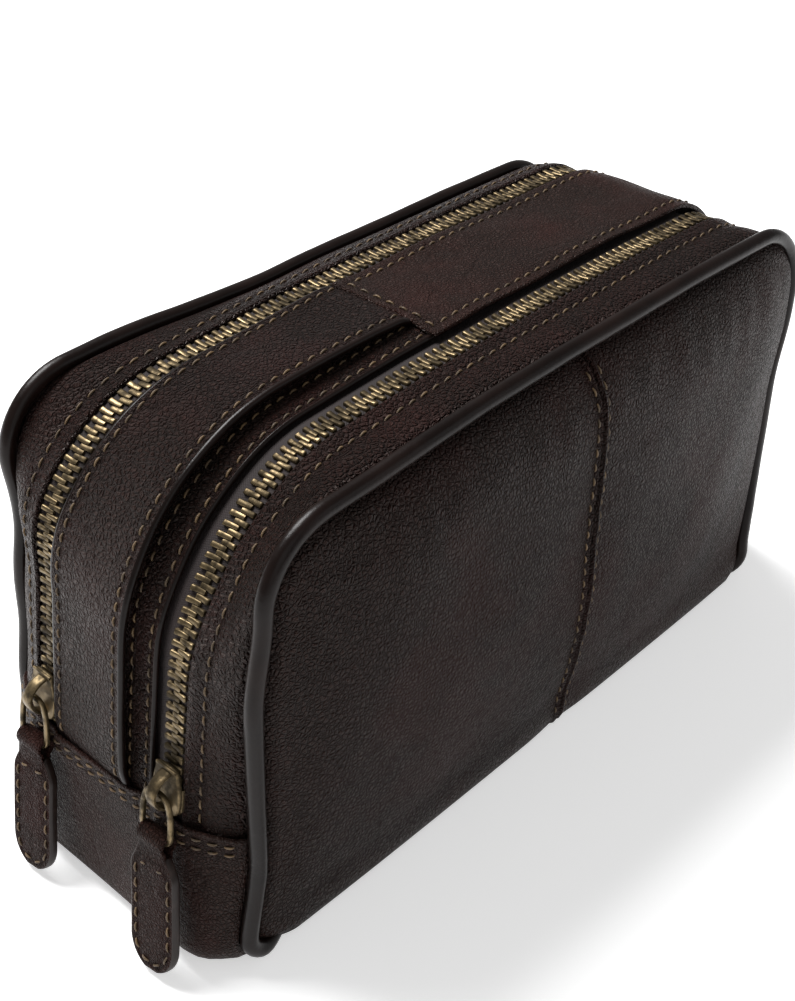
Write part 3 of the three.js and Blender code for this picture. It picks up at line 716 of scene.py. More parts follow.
class KitBagStage(bpy.types.PropertyGroup):
    """Camera and light."""

    lens: FloatProperty(name="Lens", description="Focal length in millimetres",
                        default=55.6, min=20, max=200)
    key: FloatProperty(name="Key light", description="Power of the high light behind the bag",
                       default=46.0, min=0, subtype="POWER", unit="POWER")
    fill: FloatProperty(name="Fill light", description="Power of the light beside the camera",
                        default=2.6, min=0, subtype="POWER", unit="POWER")
    surround: FloatProperty(name="Surround", description="Strength of the even light from all round",
                            default=0.27, min=0, max=5)


# Each look's maker, material name and colour, then what its maker takes: for leather its grain,
# relief, roughness, sheen and creasing, for brass a share of its colour, for cloth its pitch.
FINISHES = {
    "pebbled": (leather, "pebbled_leather", "pebbled", 0.0016, 0.0024, 0.40, 0.2),
    "panel": (leather, "panel_leather", "pebbled", 0.0014, 0.0016, 0.42, 0.15),
    "plain": (leather, "plain_leather", "plain", 0.0011, 0.00055, 0.40, 0.16, 0.8),
    "tab": (leather, "tab_leather", "plain", 0.0011, 0.00060, 0.42, 0.07, 0.9),
    "rolled": (piping_leather, "rolled_edge", "piping"),
    "piping": (piping_leather, "piping_leather", "piping"),
    "paint": (edge_paint, "edge_paint", "paint"),
    "thread": (twisted_thread, "waxed_thread", "thread"),
    "brass": (antique_brass, "antique_brass", "brass"),
    "teeth": (antique_brass, "tooth_brass", "brass", 0.95),
    "tape": (woven_cloth, "zip_tape", "tape", 0.0009),
    "lining": (woven_cloth, "lining_cloth", "lining", 0.0007),
    "board": (pressed_board, "fibre_board", "board"),
    "floor": (studio_floor, "pale_floor", "floor"),
}
LOOKS = {}


def look(name):
    """The named finish, made once from the colours in the settings."""
    if name not in LOOKS:
        maker, material, colour, *rest = FINISHES[name]
        LOOKS[name] = maker(material, tuple(getattr(bpy.context.scene.kit_bag_colours, colour)), *rest)
    return LOOKS[name]


def sewing():
    sizes = bpy.context.scene.kit_bag_sizes
    return {"look": look("thread"), "length": sizes.stitch / MM, "pitch": sizes.pitch / MM,
            "thickness": sizes.thread / MM}


# ------------------------------------------------------------ stage


CAMERA_PLACE = (-0.2982, -0.2638, 0.3471)
CAMERA_HEADING = math.radians(43.36)
CAMERA_PITCH = math.radians(-34.6)
CAMERA_SHIFT = (0.0124, -0.0132)
LIGHTS_AIM = (0.0, 0.0, 0.07)
FLOOR_HALF_WIDTH = 30000.0


def make_stage():
    scene = bpy.context.scene
    stage = scene.kit_bag_stage
    data = bpy.data.cameras.new("camera")
    data.lens = stage.lens
    data.sensor_width = 36.0
    data.shift_x, data.shift_y = CAMERA_SHIFT
    data.dof.use_dof = False
    camera = bpy.data.objects.new("camera", data)
    camera.location = CAMERA_PLACE
    camera.rotation_euler = (math.pi / 2 + CAMERA_PITCH, 0.0, CAMERA_HEADING - math.pi / 2)
    scene.collection.objects.link(camera)
    scene.camera = camera
    lights = (
        ("key_light", stage.key, (-0.12, 0.80, 1.40), 0.75),
        ("fill_light", stage.fill, (-0.75, -1.1, 0.85), 1.1),
        ("side_light", stage.fill * 0.7, (0.7, -1.3, 0.7), 0.9),
    )
    for name, power, place, width in lights:
        lamp = bpy.data.lights.new(name, "AREA")
        lamp.energy = power
        lamp.size = width
        lamp_object = bpy.data.objects.new(name, lamp)
        lamp_object.location = place
        aim = np.array(LIGHTS_AIM) - np.array(place)
        lamp_object.rotation_euler = (
            math.acos(-aim[2] / np.linalg.norm(aim)), 0.0, math.atan2(aim[1], aim[0]) - math.pi / 2)
        scene.collection.objects.link(lamp_object)
    world = bpy.data.worlds.new("soft_surround")
    world.use_nodes = True
    background = world.node_tree.nodes["Background"]
    background.inputs["Color"].default_value = (1, 1, 1, 1)
    background.inputs["Strength"].default_value = stage.surround
    scene.world = world
    scene.view_settings.view_transform = "Standard"
    half = FLOOR_HALF_WIDTH
    corners = [(-half, -half, 0), (half, -half, 0), (half, half, 0), (-half, half, 0)]
    floor = finish_mesh("floor", corners, [(0, 1, 2, 3)], [look("floor")], soft=False)


# ------------------------------------------------------------ leather pieces


def toward_piping(s, y):
    """Leather dips under the piping along its outer edge."""
    return -0.28 * np.clip(np.abs(y) - 45.6, 0, None) ** 2


def over_strap_width(y):
    """One across the strap, easing to zero beside it."""
    past_front = smooth(y, STRAP_FRONT_Y - 3, STRAP_FRONT_Y)
    return past_front * smooth(-y, -STRAP_BACK_Y - 2, -STRAP_BACK_Y + 1)


def make_base_wrap():
    edge = near_station(WRAP_TOP_Z)

    def shape(s, y):
        over_strap = 1.5 * over_strap_width(y) * bell(np.abs(s) - edge, 5.5) * (s > 0)
        belly = 0.35 * np.sin(y / 9.0 + s / 31.0) * smooth(np.abs(s), 120, 150)
        return toward_piping(s, y) + over_strap + belly

    rows = [sign * (edge - back) for sign in (1, -1) for back in WRAP_ROWS]
    wrap = band("base_wrap_leather", -edge, edge, -WRAP_HALF_WIDTH, WRAP_HALF_WIDTH, GAP + LEATHER,
                look("plain"), cross_rows=rows, shape=shape, step=1.6)
    fixed_piece(wrap, "bag", "base_wrap", slot="leather_smooth")

    def wrap_row(station):
        def point_at(place, up):
            lowered = GAP + LEATHER - 0.22 + shape(np.full_like(place, station), place)
            return surface(station, place, lowered + up)
        return point_at

    reach = WRAP_HALF_WIDTH - 2.0
    sewn = stitches("base_wrap_stitching", [(wrap_row(r), -reach, reach) for r in rows], **sewing())
    fixed_piece(sewn, "bag", slot="thread")


def strap_profile(lift, start, end):
    """Height of the strap over the gusset: flat along its back edge, raised along its front."""
    def shape(s, y):
        u = np.clip((s - start) / (end - start), 0, 1)
        across = np.clip((STRAP_BACK_Y - y) / (STRAP_BACK_Y - STRAP_FRONT_Y), 0, 1)
        arch = lift * np.clip(np.sin(math.pi * u), 0, 1) ** 0.5 * (0.1 + 0.9 * across**1.4)
        tucked = -2.0 * (bell(s - start, 5.0) + bell(s - end, 4.0))
        lump = 0.3 * np.sin(s / 15.0 + 0.6) * np.sin(y / 9.0 + s / 40.0)
        return arch + tucked + lump * smooth(s - start, 4, 12) * smooth(end - s, 4, 12)
    return shape


def make_centre_gusset():
    start, end = near_station(GUSSET_FOOT_Z), top_station(GUSSET_END_X)

    def shape(s, y):
        crown = 0.35 * bell(y + 13, 3.0) + 0.45 * bell(y - CENTRE_FRONT_Y - 0.9, 1.1)
        return crown - 0.5 * smooth(y, -9, -4) - 0.3 * smooth(y, 17.5, 20.3)

    gusset = band("centre_gusset_leather", start, end, CENTRE_FRONT_Y, CENTRE_BACK_Y, 0.3,
                  look("pebbled"), rows=GUSSET_ROWS, shape=shape, edge_look=look("rolled"), edge_width=0.9)
    fixed_piece(gusset, "bag", "centre_gusset", slot="leather_pebbled")

    def gusset_row(y):
        return lambda place, up: surface(place, y, 0.12 + shape(place, y) + up)

    low, high = near_station(WRAP_TOP_Z), top_station(COVER_EDGE_X)
    sewn = stitches("centre_gusset_stitching", [(gusset_row(y), low, high) for y in GUSSET_ROWS], **sewing())
    fixed_piece(sewn, "bag", slot="thread")


def make_handle_strap():
    lift = bpy.context.scene.kit_bag_sizes.strap_lift / MM
    start, end = near_station(WRAP_TOP_Z) - 3.0, top_station(COVER_EDGE_X) + 3.0
    shape = strap_profile(lift, start, end)
    backing = band("handle_strap_back_leather", start, end, STRAP_FRONT_Y + 1.2, STRAP_BACK_Y - 0.6,
                   GAP + STRAP_LAYER, look("plain"), thickness=STRAP_LAYER, shape=shape,
                   edge_look=look("paint"))
    fixed_piece(backing, "bag", "handle_strap_backing", slot="leather_smooth")
    rows = (STRAP_FRONT_Y + 3.6, STRAP_BACK_Y - 3.2)
    strap = band("handle_strap_leather", start, end, STRAP_FRONT_Y, STRAP_BACK_Y,
                 GAP * 2 + STRAP_LAYER * 2 - 0.1, look("pebbled"), thickness=2.3, rows=rows,
                 shape=shape, edge=1.3, edge_look=look("rolled"), edge_width=1.7)
    fixed_piece(strap, "bag", "handle_strap", slot="leather_pebbled")

    def strap_row(y):
        def point_at(place, up):
            return surface(place, y, GAP * 2 + STRAP_LAYER * 2 - 0.3 + shape(place, y) + up)
        return point_at

    sewn = stitches("handle_strap_stitching", [(strap_row(y), start + 4, end - 4) for y in rows], **sewing())
    fixed_piece(sewn, "bag", slot="thread")


def make_top_cover():
    start, end = top_station(COVER_EDGE_X), far_station(WRAP_TOP_Z + 2 * GAP)
    cross = start + 3.0

    def shape(s, y):
        over_strap = 1.1 * over_strap_width(y) * bell(s - start, 7.0)
        soft = 0.35 * np.sin(s / 9.0 + y / 6.0) * np.sin(y / 11.0 + 0.4)
        return over_strap + soft * smooth(s, start + 4, start + 20)

    cover = band("top_cover_leather", start, end, CENTRE_FRONT_Y - 1.2, CENTRE_BACK_Y, GAP + LEATHER,
                 look("plain"), rows=COVER_ROWS, cross_rows=(cross,), shape=shape)
    fixed_piece(cover, "bag", "top_cover", slot="leather_smooth")

    def cover_point(s, y, up):
        return surface(s, y, GAP + LEATHER - 0.2 + shape(s, y) + up)

    sewn_rows = [(lambda place, up, y=y: cover_point(place, y, up), cross + 2, end - 1) for y in COVER_ROWS]
    across = lambda place, up: cover_point(np.full_like(place, cross), place, up)
    sewn_rows.append((across, -17.5, 17.5))
    sewn = stitches("top_cover_stitching", sewn_rows, **sewing())
    fixed_piece(sewn, "bag", slot="thread")


def make_side_band(label, side):
    start, end = near_station(WRAP_TOP_Z - 2.0), far_station(WRAP_TOP_Z - 2.0)
    low, high = sorted((side * SIDE_BAND_Y, side * SIDE_BAND_OUTER_Y))
    row = side * SIDE_BAND_ROW_Y

    def shape(s, y):
        lump = 0.18 * np.sin(s / 16.0 + side) * np.sin(np.abs(y) / 4.5)
        lip = 0.75 * bell(np.abs(y) - 31.8, 1.9)
        return toward_piping(s, y) + lip + 0.5 * bell(np.abs(y) - 41.5, 3.5) + lump

    piece = band(f"{label}_side_band_leather", start, end, low, high, 0.0, look("pebbled"),
                 rows=(row,), shape=shape)
    shell_piece(piece, label, f"{label}_side_band", slot="leather_pebbled")
    point_at = lambda place, up: surface(place, row, shape(place, row) - 0.2 + up)
    sewn = stitches(f"{label}_side_band_stitching", [(point_at, start + 2.5, end - 2.5)], **sewing())
    shell_piece(sewn, label, slot="thread")


def panel_puff(x, z):
    """The pillow of a panel: fullest two thirds of the way up, rolling in at the top piping."""
    reach = np.where(z > PANEL_MID_Z, PANEL_ABOVE[0], PANEL_BELOW[0])
    power = np.where(z > PANEL_MID_Z, PANEL_ABOVE[1], PANEL_BELOW[1])
    across = np.maximum(0, 1 - np.abs(x / PIPING_OUTLINE[0]) ** PANEL_ACROSS_POWER)
    upward = np.maximum(0, 1 - np.abs((z - PANEL_MID_Z) / reach) ** power)
    return PIPING_Y + PANEL_BULGE * across * upward


def along_base(x, z):
    """One along the foot of a panel, away from its corners, where the leather sags."""
    return smooth(-z, -18, -7) * smooth(-np.abs(x), -118, -105)


def seam_line(z):
    """How far the seam strays sideways as it nears the top."""
    return 0.6 * np.sin(z / 24.0 + 0.5)


def panel_y(x, z, side, depth=0.0):
    """The face of a panel, puffed over its lining, pulled in at the seam and at the piping."""
    inside = -outside_by(piping_outline(x), np.abs(x), z)
    seam = x - SEAM_X
    soft = (0.55 * np.sin(x / 27.0 + z / 33.0 + side) * np.sin(z / 21.0 + 0.6)
            + 0.22 * np.sin(x / 9.0 - z / 14.0 + 2.0 * side)) * smooth(inside, 4, 26)
    tension = 0.16 * bell(seam, 9.0) * np.sin(z / 3.1 + np.sin(z / 7.0) * 1.6) * smooth(inside, 3, 14)
    from_corner = np.hypot(x + 118, z - 132)
    fan = np.arctan2(x + 118, 132 - z)
    pulls = 0.26 * np.sin(fan * 13.0 + np.sin(from_corner / 9.0)) * bell(from_corner - 24, 17)
    gathers = 0.14 * np.sin(x / 2.1 + 1.3 * np.sin(x / 11.0)) * bell(z - 124, 10) * smooth(inside, 3, 8)
    valley = 1.3 * bell(seam, 0.6) + 0.7 * bell(seam, 9.0) - 0.7 * bell(np.abs(seam) - 1.4, 0.8)
    rows = 0.25 * bell(np.abs(seam) - 2.5, 0.5)
    near_piping = 2.5 * bell(np.maximum(inside - 1.0, 0), 2.2) * (1 - 0.75 * along_base(x, z))
    overhang = 1.2 * along_base(x, z)
    raised = panel_puff(x, z) + soft + tension + pulls + gathers
    return side * (raised - valley - rows - near_piping + overhang - depth)


def on_panel(x, z, side, depth=0.0):
    """A point on a panel, its seam line strayed and its foot sagged."""
    y = panel_y(x, z, side, depth)
    stray = seam_line(z) * bell(x - SEAM_X, 40.0)
    sag = 1.9 * along_base(x, z)
    return np.stack([x + stray, y, z - sag], -1)


def make_panel_half(label, side, half):
    outline = inset(PIPING_OUTLINE if half == "left" else FAR_PIPING_OUTLINE, PANEL_INSET)
    low, high = outline[4], outline[3]
    u = (1 - np.cos(np.linspace(0, 1, 110) * math.pi)) / 2
    zs = low + (high - low) * (0.6 * u + 0.4 * np.linspace(0, 1, 110))
    width = half_width_at(outline, zs)
    seam_gap = 0.06
    steps = np.linspace(0, 1, 110)
    steps = 0.55 * steps + 0.45 * (1 - np.cos(steps * math.pi)) / 2
    reach = (width + SEAM_X) if half == "left" else (width - SEAM_X)
    away = seam_gap + steps[None, :] * (reach[:, None] - seam_gap)
    x = SEAM_X - away if half == "left" else SEAM_X + away
    z = np.repeat(zs[:, None], x.shape[1], 1)
    verts, faces = closed_sheet(on_panel(x, z, side), on_panel(x, z, side, LEATHER))
    inside = -outside_by(piping_outline(x), np.abs(x), z)
    rub = np.maximum(0.6 * bell(np.abs(x - SEAM_X) - 1.2, 1.2), 0.5 * bell(inside - 6.5, 2.5))
    # Painted shade, darkening the panel in the groove beside the piping, along the seam's stitch rows and
    # down the seam.
    press = np.maximum(bell(np.maximum(inside - PANEL_INSET, 0), 2.6), bell(np.abs(x - SEAM_X) - 2.5, 0.6))
    press = np.maximum(press, bell(x - SEAM_X, 0.6))
    marks = {"rub": np.tile(rub.ravel(), 2), "press": np.tile(press.ravel(), 2)}
    piece = finish_mesh(f"{label}_panel_{half}_leather", verts, faces, [look("panel")], marks)
    shell_piece(piece, label, f"{label}_panel_{half}", f"{label}_panel_foot_{half}", slot="leather_pebbled")


def make_panels(label, side):
    for half in ("left", "right"):
        make_panel_half(label, side, half)
    rows = []
    for offset in (-2.5, 2.5):
        def point_at(place, up, x=SEAM_X + offset):
            lifted = np.array([0.0, side, 0.0]) * (up + 0.02)[..., None]
            return on_panel(np.full_like(place, x), place, side) + lifted
        rows.append((point_at, 9.0, 134.0))
    sewn = stitches(f"{label}_seam_stitching", rows, **sewing())
    shell_piece(sewn, label, slot="thread")


def make_piping(label, side):
    stations = np.linspace(0, 2 * HALF_ROUND, 420, endpoint=False)
    centre = outline_point(stations, side * PIPING_Y)
    tuck = smooth(-centre[:, 2], -13, -7) * smooth(-np.abs(centre[:, 0]), -117, -102)
    centre = centre + np.outer(tuck, [0.0, -side * 5.0, 1.0])
    ahead = np.roll(centre, -1, 0) - np.roll(centre, 1, 0)
    ahead /= np.linalg.norm(ahead, axis=1, keepdims=True)
    beside = np.array([0.0, 1.0, 0.0])
    outward = np.cross(ahead, beside)
    turn = np.linspace(0, 2 * math.pi, 20, endpoint=False)
    swell = 1 + 0.012 * np.sin(stations / 7.3 + side) + 0.008 * np.sin(stations / 2.9)
    radius = PIPING_RADIUS * swell[:, None, None]
    rings = (centre[:, None, :] + radius * (np.cos(turn)[None, :, None] * outward[:, None, :]
             + np.sin(turn)[None, :, None] * beside))
    faces = loft_faces(len(stations), len(turn), closed=True)
    piece = finish_mesh(f"{label}_piping_leather", rings, faces, [look("piping")])
    shell_piece(piece, label, f"{label}_piping", f"{label}_piping_foot", slot="leather_piping")


# ------------------------------------------------------------ linings, divider and board


def two_sided_grid(near, far, zs, columns):
    """Places across a sheet whose two ends follow their own outlines."""
    left, right = half_width_at(near, zs)[:, None], half_width_at(far, zs)[:, None]
    share = np.linspace(0, 1, columns)[None, :]
    return -left + share * (left + right), np.repeat(zs[:, None], columns, 1)


def make_panel_lining(label, side):
    near, far = inset(PIPING_OUTLINE, LINING_INSET), inset(FAR_PIPING_OUTLINE, LINING_INSET)
    x, z = two_sided_grid(near, far, np.linspace(near[4], near[3], 70), 90)
    wrinkle = 0.35 * np.sin(x / 8.0 + z / 15.0) * np.sin(z / 9.0 + x / 40.0)
    face = panel_puff(x, z) - LINING_DEPTH + wrinkle
    outer = np.stack([x, side * face, z], -1)
    inner = np.stack([x, side * (face - LINING), z], -1)
    verts, faces = closed_sheet(outer, inner)
    piece = finish_mesh(f"{label}_panel_lining_cloth", verts, faces, [look("lining")])
    shell_piece(piece, label, f"{label}_lining", f"{label}_lining_foot", slot="lining_cloth")


def make_compartment_lining(label, side):
    top = near_station(CHANNEL_TOP_Z)
    low, high = sorted(side * y for y in COMPARTMENT_Y)
    shape = lambda s, y: 0.3 * np.sin(s / 10.0) * np.sin(y / 7.0 + s / 30.0)
    piece = band(f"{label}_compartment_cloth", -top, top, low, high, -LEATHER - 1.5 * GAP,
                 look("lining"), thickness=LINING, shape=shape, step=2.5, edge=0.4)
    fixed_piece(piece, "bag", f"{label}_compartment_lining", slot="lining_cloth")
    2 * top * MM


def make_divider():
    by = LEATHER + 2 * GAP
    near, far = inset(GUSSET_OUTLINE, by), inset(FAR_GUSSET_OUTLINE, by)
    zs = near[4] + (near[3] - near[4]) * (1 - np.cos(np.linspace(0, 1, 80) * math.pi)) / 2
    x, z = two_sided_grid(near, far, zs, 110)
    outline = [np.where(x > 0, b, n) for n, b in zip(near, far)]
    inside = -outside_by(outline, np.abs(x), z)
    half = 1.0 - turned(np.maximum(inside, 0), 0.8) * 0.9
    soft = 0.2 * np.sin(x / 13.0) * np.sin(z / 11.0)
    outer = np.stack([x, half + soft, z], -1)
    inner = np.stack([x, -half + soft, z], -1)
    verts, faces = closed_sheet(outer, inner)
    piece = finish_mesh("divider_cloth", verts, faces, [look("lining")])
    fixed_piece(piece, "bag", "divider", slot="lining_cloth")


def finish_stiffener():
    board = bpy.data.objects["base_stiffener"]
    board.data.materials.clear()
    board.data.materials.append(look("board"))


# ------------------------------------------------------------ zips


# Rings of one tooth from its head, past the chain's centre, to its root on the tape:
# reach from the centre line, half its length, top and bottom.
TOOTH_RINGS = np.array([
    (-1.20, 0.42, -0.35, -1.30),
    (-1.08, 0.62, -0.02, -1.60),
    (-0.20, 0.70, 0.10, -1.90),
    (0.90, 0.72, 0.08, -2.00),
    (1.90, 0.76, 0.24, -2.10),
    (2.95, 0.80, 0.42, -2.20),
    (3.35, 0.80, 0.34, -2.20),
    (3.50, 0.66, 0.10, -1.95),
])


def tooth_rows(centre, sign, stations):
    """Teeth on one side of a chain, as rings of points."""
    corner = np.array([(-0.7, 1), (0.7, 1), (1, 0.82), (1, -0.82),
                       (0.7, -1), (-0.7, -1), (-1, -0.82), (-1, 0.82)])
    reach, half, top, bottom = TOOTH_RINGS.T
    along = corner[None, :, 0] * half[:, None]
    height = (top + bottom)[:, None] / 2 + corner[None, :, 1] * ((top - bottom) / 2)[:, None]
    across = np.repeat(reach[:, None], 8, 1)
    return surface(stations[:, None, None] + along, centre + sign * across, height)


def zip_tape(name, side, outward, start, end):
    """Woven tape from under the teeth to under the leather beside them."""
    sign = side * (1 if outward else -1)
    edge = 5.4 if outward else ZIP_Y - (CENTRE_BACK_Y if side > 0 else -CENTRE_FRONT_Y)
    reach = np.array([0.5, 2.0, 3.4, 4.2, edge - 0.6, edge, edge + 1.0, 10.5])
    height = np.array([-0.75, -0.7, -0.6, -0.9, -1.5, -1.9, -2.1, -2.1])
    stations = np.linspace(start, end, int((end - start) / 1.7))
    s, r = np.meshgrid(stations, reach, indexing="ij")
    h = np.broadcast_to(height, s.shape)
    y = side * ZIP_Y + sign * r
    verts, faces = closed_sheet(surface(s, y, h), surface(s, y, h - 0.8))
    return finish_mesh(name, verts, faces, [look("tape")])


def make_zip(label, side):
    pitch = bpy.context.scene.kit_bag_sizes.tooth_pitch / MM
    bottom, far_bottom = near_station(WRAP_TOP_Z - 1.0), far_station(WRAP_TOP_Z - 1.0)
    centre = side * ZIP_Y
    stations = np.arange(bottom + 1.2, far_bottom - 1.2, pitch)
    for outward in (False, True):
        row = "outer" if outward else "inner"
        sign = side * (1 if outward else -1)
        rings = tooth_rows(centre, sign, stations + (pitch / 2 if outward else 0.0))
        teeth = finish_mesh(f"{label}_zip_{row}_tooth_row", rings, many_lofts(rings), [look("teeth")],
                            sharp=50)
        tape = zip_tape(f"{label}_zip_{row}_tape_cloth", side, outward, bottom, far_bottom)
        node = f"{label}_zip_{row}"
        if outward:
            shell_piece(teeth, label, f"{node}_teeth", f"{node}_foot_teeth", slot="antique_brass")
            shell_piece(tape, label, f"{node}_tape", f"{node}_foot_tape", slot="zip_tape")
        else:
            fixed_piece(teeth, "bag", f"{node}_teeth", slot="antique_brass")
            fixed_piece(tape, "bag", f"{node}_tape", slot="zip_tape")


# ------------------------------------------------------------ sliders and pulls


def slider_place(side):
    origin = outline_point(near_station(SLIDER_Z), 0.0)
    origin[1] = side * ZIP_Y
    return origin


def tilted(points, angle):
    """Points turned about the Y axis."""
    x, y, z = points[..., 0], points[..., 1], points[..., 2]
    c, s = math.cos(angle), math.sin(angle)
    return np.stack([x * c + z * s, y, z * c - x * s], -1)


def on_slider(points, side):
    return tilted(np.asarray(points, float), LEAN_ANGLE) + slider_place(side)


def rounded(corners, cut=0.28, rounds=3):
    """A closed outline with its corners cut smooth."""
    points = np.asarray(corners, float)
    for _ in range(rounds):
        following = np.roll(points, -1, 0)
        a = points + (following - points) * cut
        b = following + (points - following) * cut
        points = np.stack([a, b], 1).reshape(-1, 2)
    return points


def plate(outline, x0, x1, bevel):
    """A bevelled plate, its outline in (y, z), between two x."""
    centre = outline.mean(0)
    away = outline - centre
    shrunk = centre + away * (1 - bevel / np.linalg.norm(away, axis=1, keepdims=True))
    lean = math.copysign(bevel, x1 - x0)
    rings = [(shrunk, x0), (outline, x0 + lean), (outline, x1 - lean), (shrunk, x1)]
    points = np.stack([np.column_stack([np.full(len(o), x), o]) for o, x in rings])
    return points


def swept_bar(path, widths, thickness, closed=False, sides=12, axis=(0.0, 1.0, 0.0)):
    """A flat bar with rounded edges along a path of points, wide along an axis."""
    path = np.asarray(path, float)
    ahead = np.gradient(path, axis=0) if not closed else np.roll(path, -1, 0) - np.roll(path, 1, 0)
    ahead /= np.linalg.norm(ahead, axis=1, keepdims=True)
    wide = np.asarray(axis) - ahead * (ahead @ np.asarray(axis))[:, None]
    wide /= np.linalg.norm(wide, axis=1, keepdims=True)
    up = np.cross(ahead, wide)
    turn = np.arange(sides) * 2 * math.pi / sides + math.pi / sides
    power = 0.45
    cx = np.sign(np.cos(turn)) * np.abs(np.cos(turn)) ** power
    cy = np.sign(np.sin(turn)) * np.abs(np.sin(turn)) ** power
    half = np.broadcast_to(np.asarray(widths, float) / 2, (len(path),))
    deep = np.broadcast_to(np.asarray(thickness, float) / 2, (len(path),))
    return (path[:, None, :] + wide[:, None, :] * (cx[None, :] * half[:, None])[..., None]
            + up[:, None, :] * (cy[None, :] * deep[:, None])[..., None])


def joined(parts):
    """Points and faces of several lofts, each (rings, closed)."""
    verts, faces, start = [], [], 0
    for rings, closed in parts:
        faces += loft_faces(rings.shape[0], rings.shape[1], closed, start=start)
        verts.append(rings.reshape(-1, 3))
        start += rings.shape[0] * rings.shape[1]
    return np.concatenate(verts), faces


def shield(throat, mouth):
    """The outline of a slider's plate, narrow at its throat and wide at its mouth."""
    right = [(throat, 7.5), (throat + 0.5, 5.2), (mouth, 1.6), (mouth, -4.6), (mouth - 1.6, -7.5)]
    left = [(-y, z) for y, z in right[::-1]]
    return rounded([left[-1], *right, *left[:-1]], 0.22, 2)


def brass_piece(name, side, parts, sharp=45):
    verts, faces = joined(parts)
    return finish_mesh(name, on_slider(verts, side), faces, [look("brass")], soft=False, sharp=sharp)


def make_slider(label, side):
    top = plate(shield(3.9, 5.3), -0.9, -2.4, 0.35)
    flanges = []
    for sign in (-1, 1):
        path = [(-0.55, sign * 4.82, z) for z in np.linspace(1.8, -5.4, 7)]
        flanges.append((swept_bar(path, 0.9, 1.5, axis=(0, 1, 0)), False))
    reach = np.linspace(0, 1, 17)
    z = 5.6 - 11.4 * reach
    x = -2.1 - 5.2 * np.sin(math.pi * reach) ** 0.62
    width = 3.4 + 0.4 * np.abs(reach - 0.5) * 2
    bridge = swept_bar(np.column_stack([x, np.zeros_like(x), z]), width, 1.15)
    rim = swept_bar([(-2.35, y, 7.1) for y in np.linspace(-3.7, 3.7, 7)], 0.9, 0.8, axis=(0, 0, 1))
    piece = brass_piece(f"{label}_slider_body", side, [(top, False), *flanges, (bridge, False), (rim, False)])
    fixed_piece(piece, f"{label}_runner", f"{label}_slider", slot="antique_brass")
    under = plate(shield(3.6, 4.9), 2.7, 3.7, 0.3)
    piece = brass_piece(f"{label}_slider_under", side, [(under, False)])
    fixed_piece(piece, f"{label}_runner", f"{label}_slider_underplate", slot="antique_brass")


def make_bail(label, side):
    corners = [(-3.6, 0.2), (3.6, 0.2), (5.5, -5.0), (5.75, -BAIL_LENGTH),
               (-5.75, -BAIL_LENGTH), (-5.5, -5.0)]
    ring = rounded(corners, 0.2, 3)
    path = np.column_stack([np.full(len(ring), -PULL_OFFSET), ring])
    bar = swept_bar(path, 1.35, 1.5, closed=True, sides=12, axis=(1.0, 0.0, 0.0))
    piece = brass_piece(f"{label}_bail_ring", side, [(bar, True)], sharp=60)
    fixed_piece(piece, f"{label}_bail", f"{label}_pull_bail", slot="antique_brass")


def tab_half_width(z):
    """Half the tab's width at a height below the ring's bar."""
    down = -z
    grow = 5.4 + 3.5 * smooth(down, 1.8, 10.5)
    from_end = np.clip(TAB_LENGTH - down, 0, TAB_ROUNDING)
    end = np.sqrt(np.maximum(0, TAB_ROUNDING**2 - (TAB_ROUNDING - from_end) ** 2))
    return np.minimum(grow, np.maximum(end, 0.02))


def on_tab(points, side):
    """Points of a tab hung on its ring, swung a little sideways toward the front."""
    points = np.asarray(points, float)
    angle = TAB_SKEW * smooth(-points[..., 2], 0, 6)
    x, y, z = points[..., 0], points[..., 1], points[..., 2]
    c, s = np.cos(angle), np.sin(angle)
    skewed = np.stack([x, y * c + z * s, z * c - y * s], -1)
    hung = tilted(skewed, TAB_TILT) + np.array([-PULL_OFFSET, 0.0, -BAIL_LENGTH])
    return on_slider(hung, side)


def tab_bend(z, side):
    """How far the tab curls and waves off its flat."""
    return -0.0005 * np.clip(-z - 14, 0, None) ** 2 + 0.25 * np.sin(z / 9.0 + side)


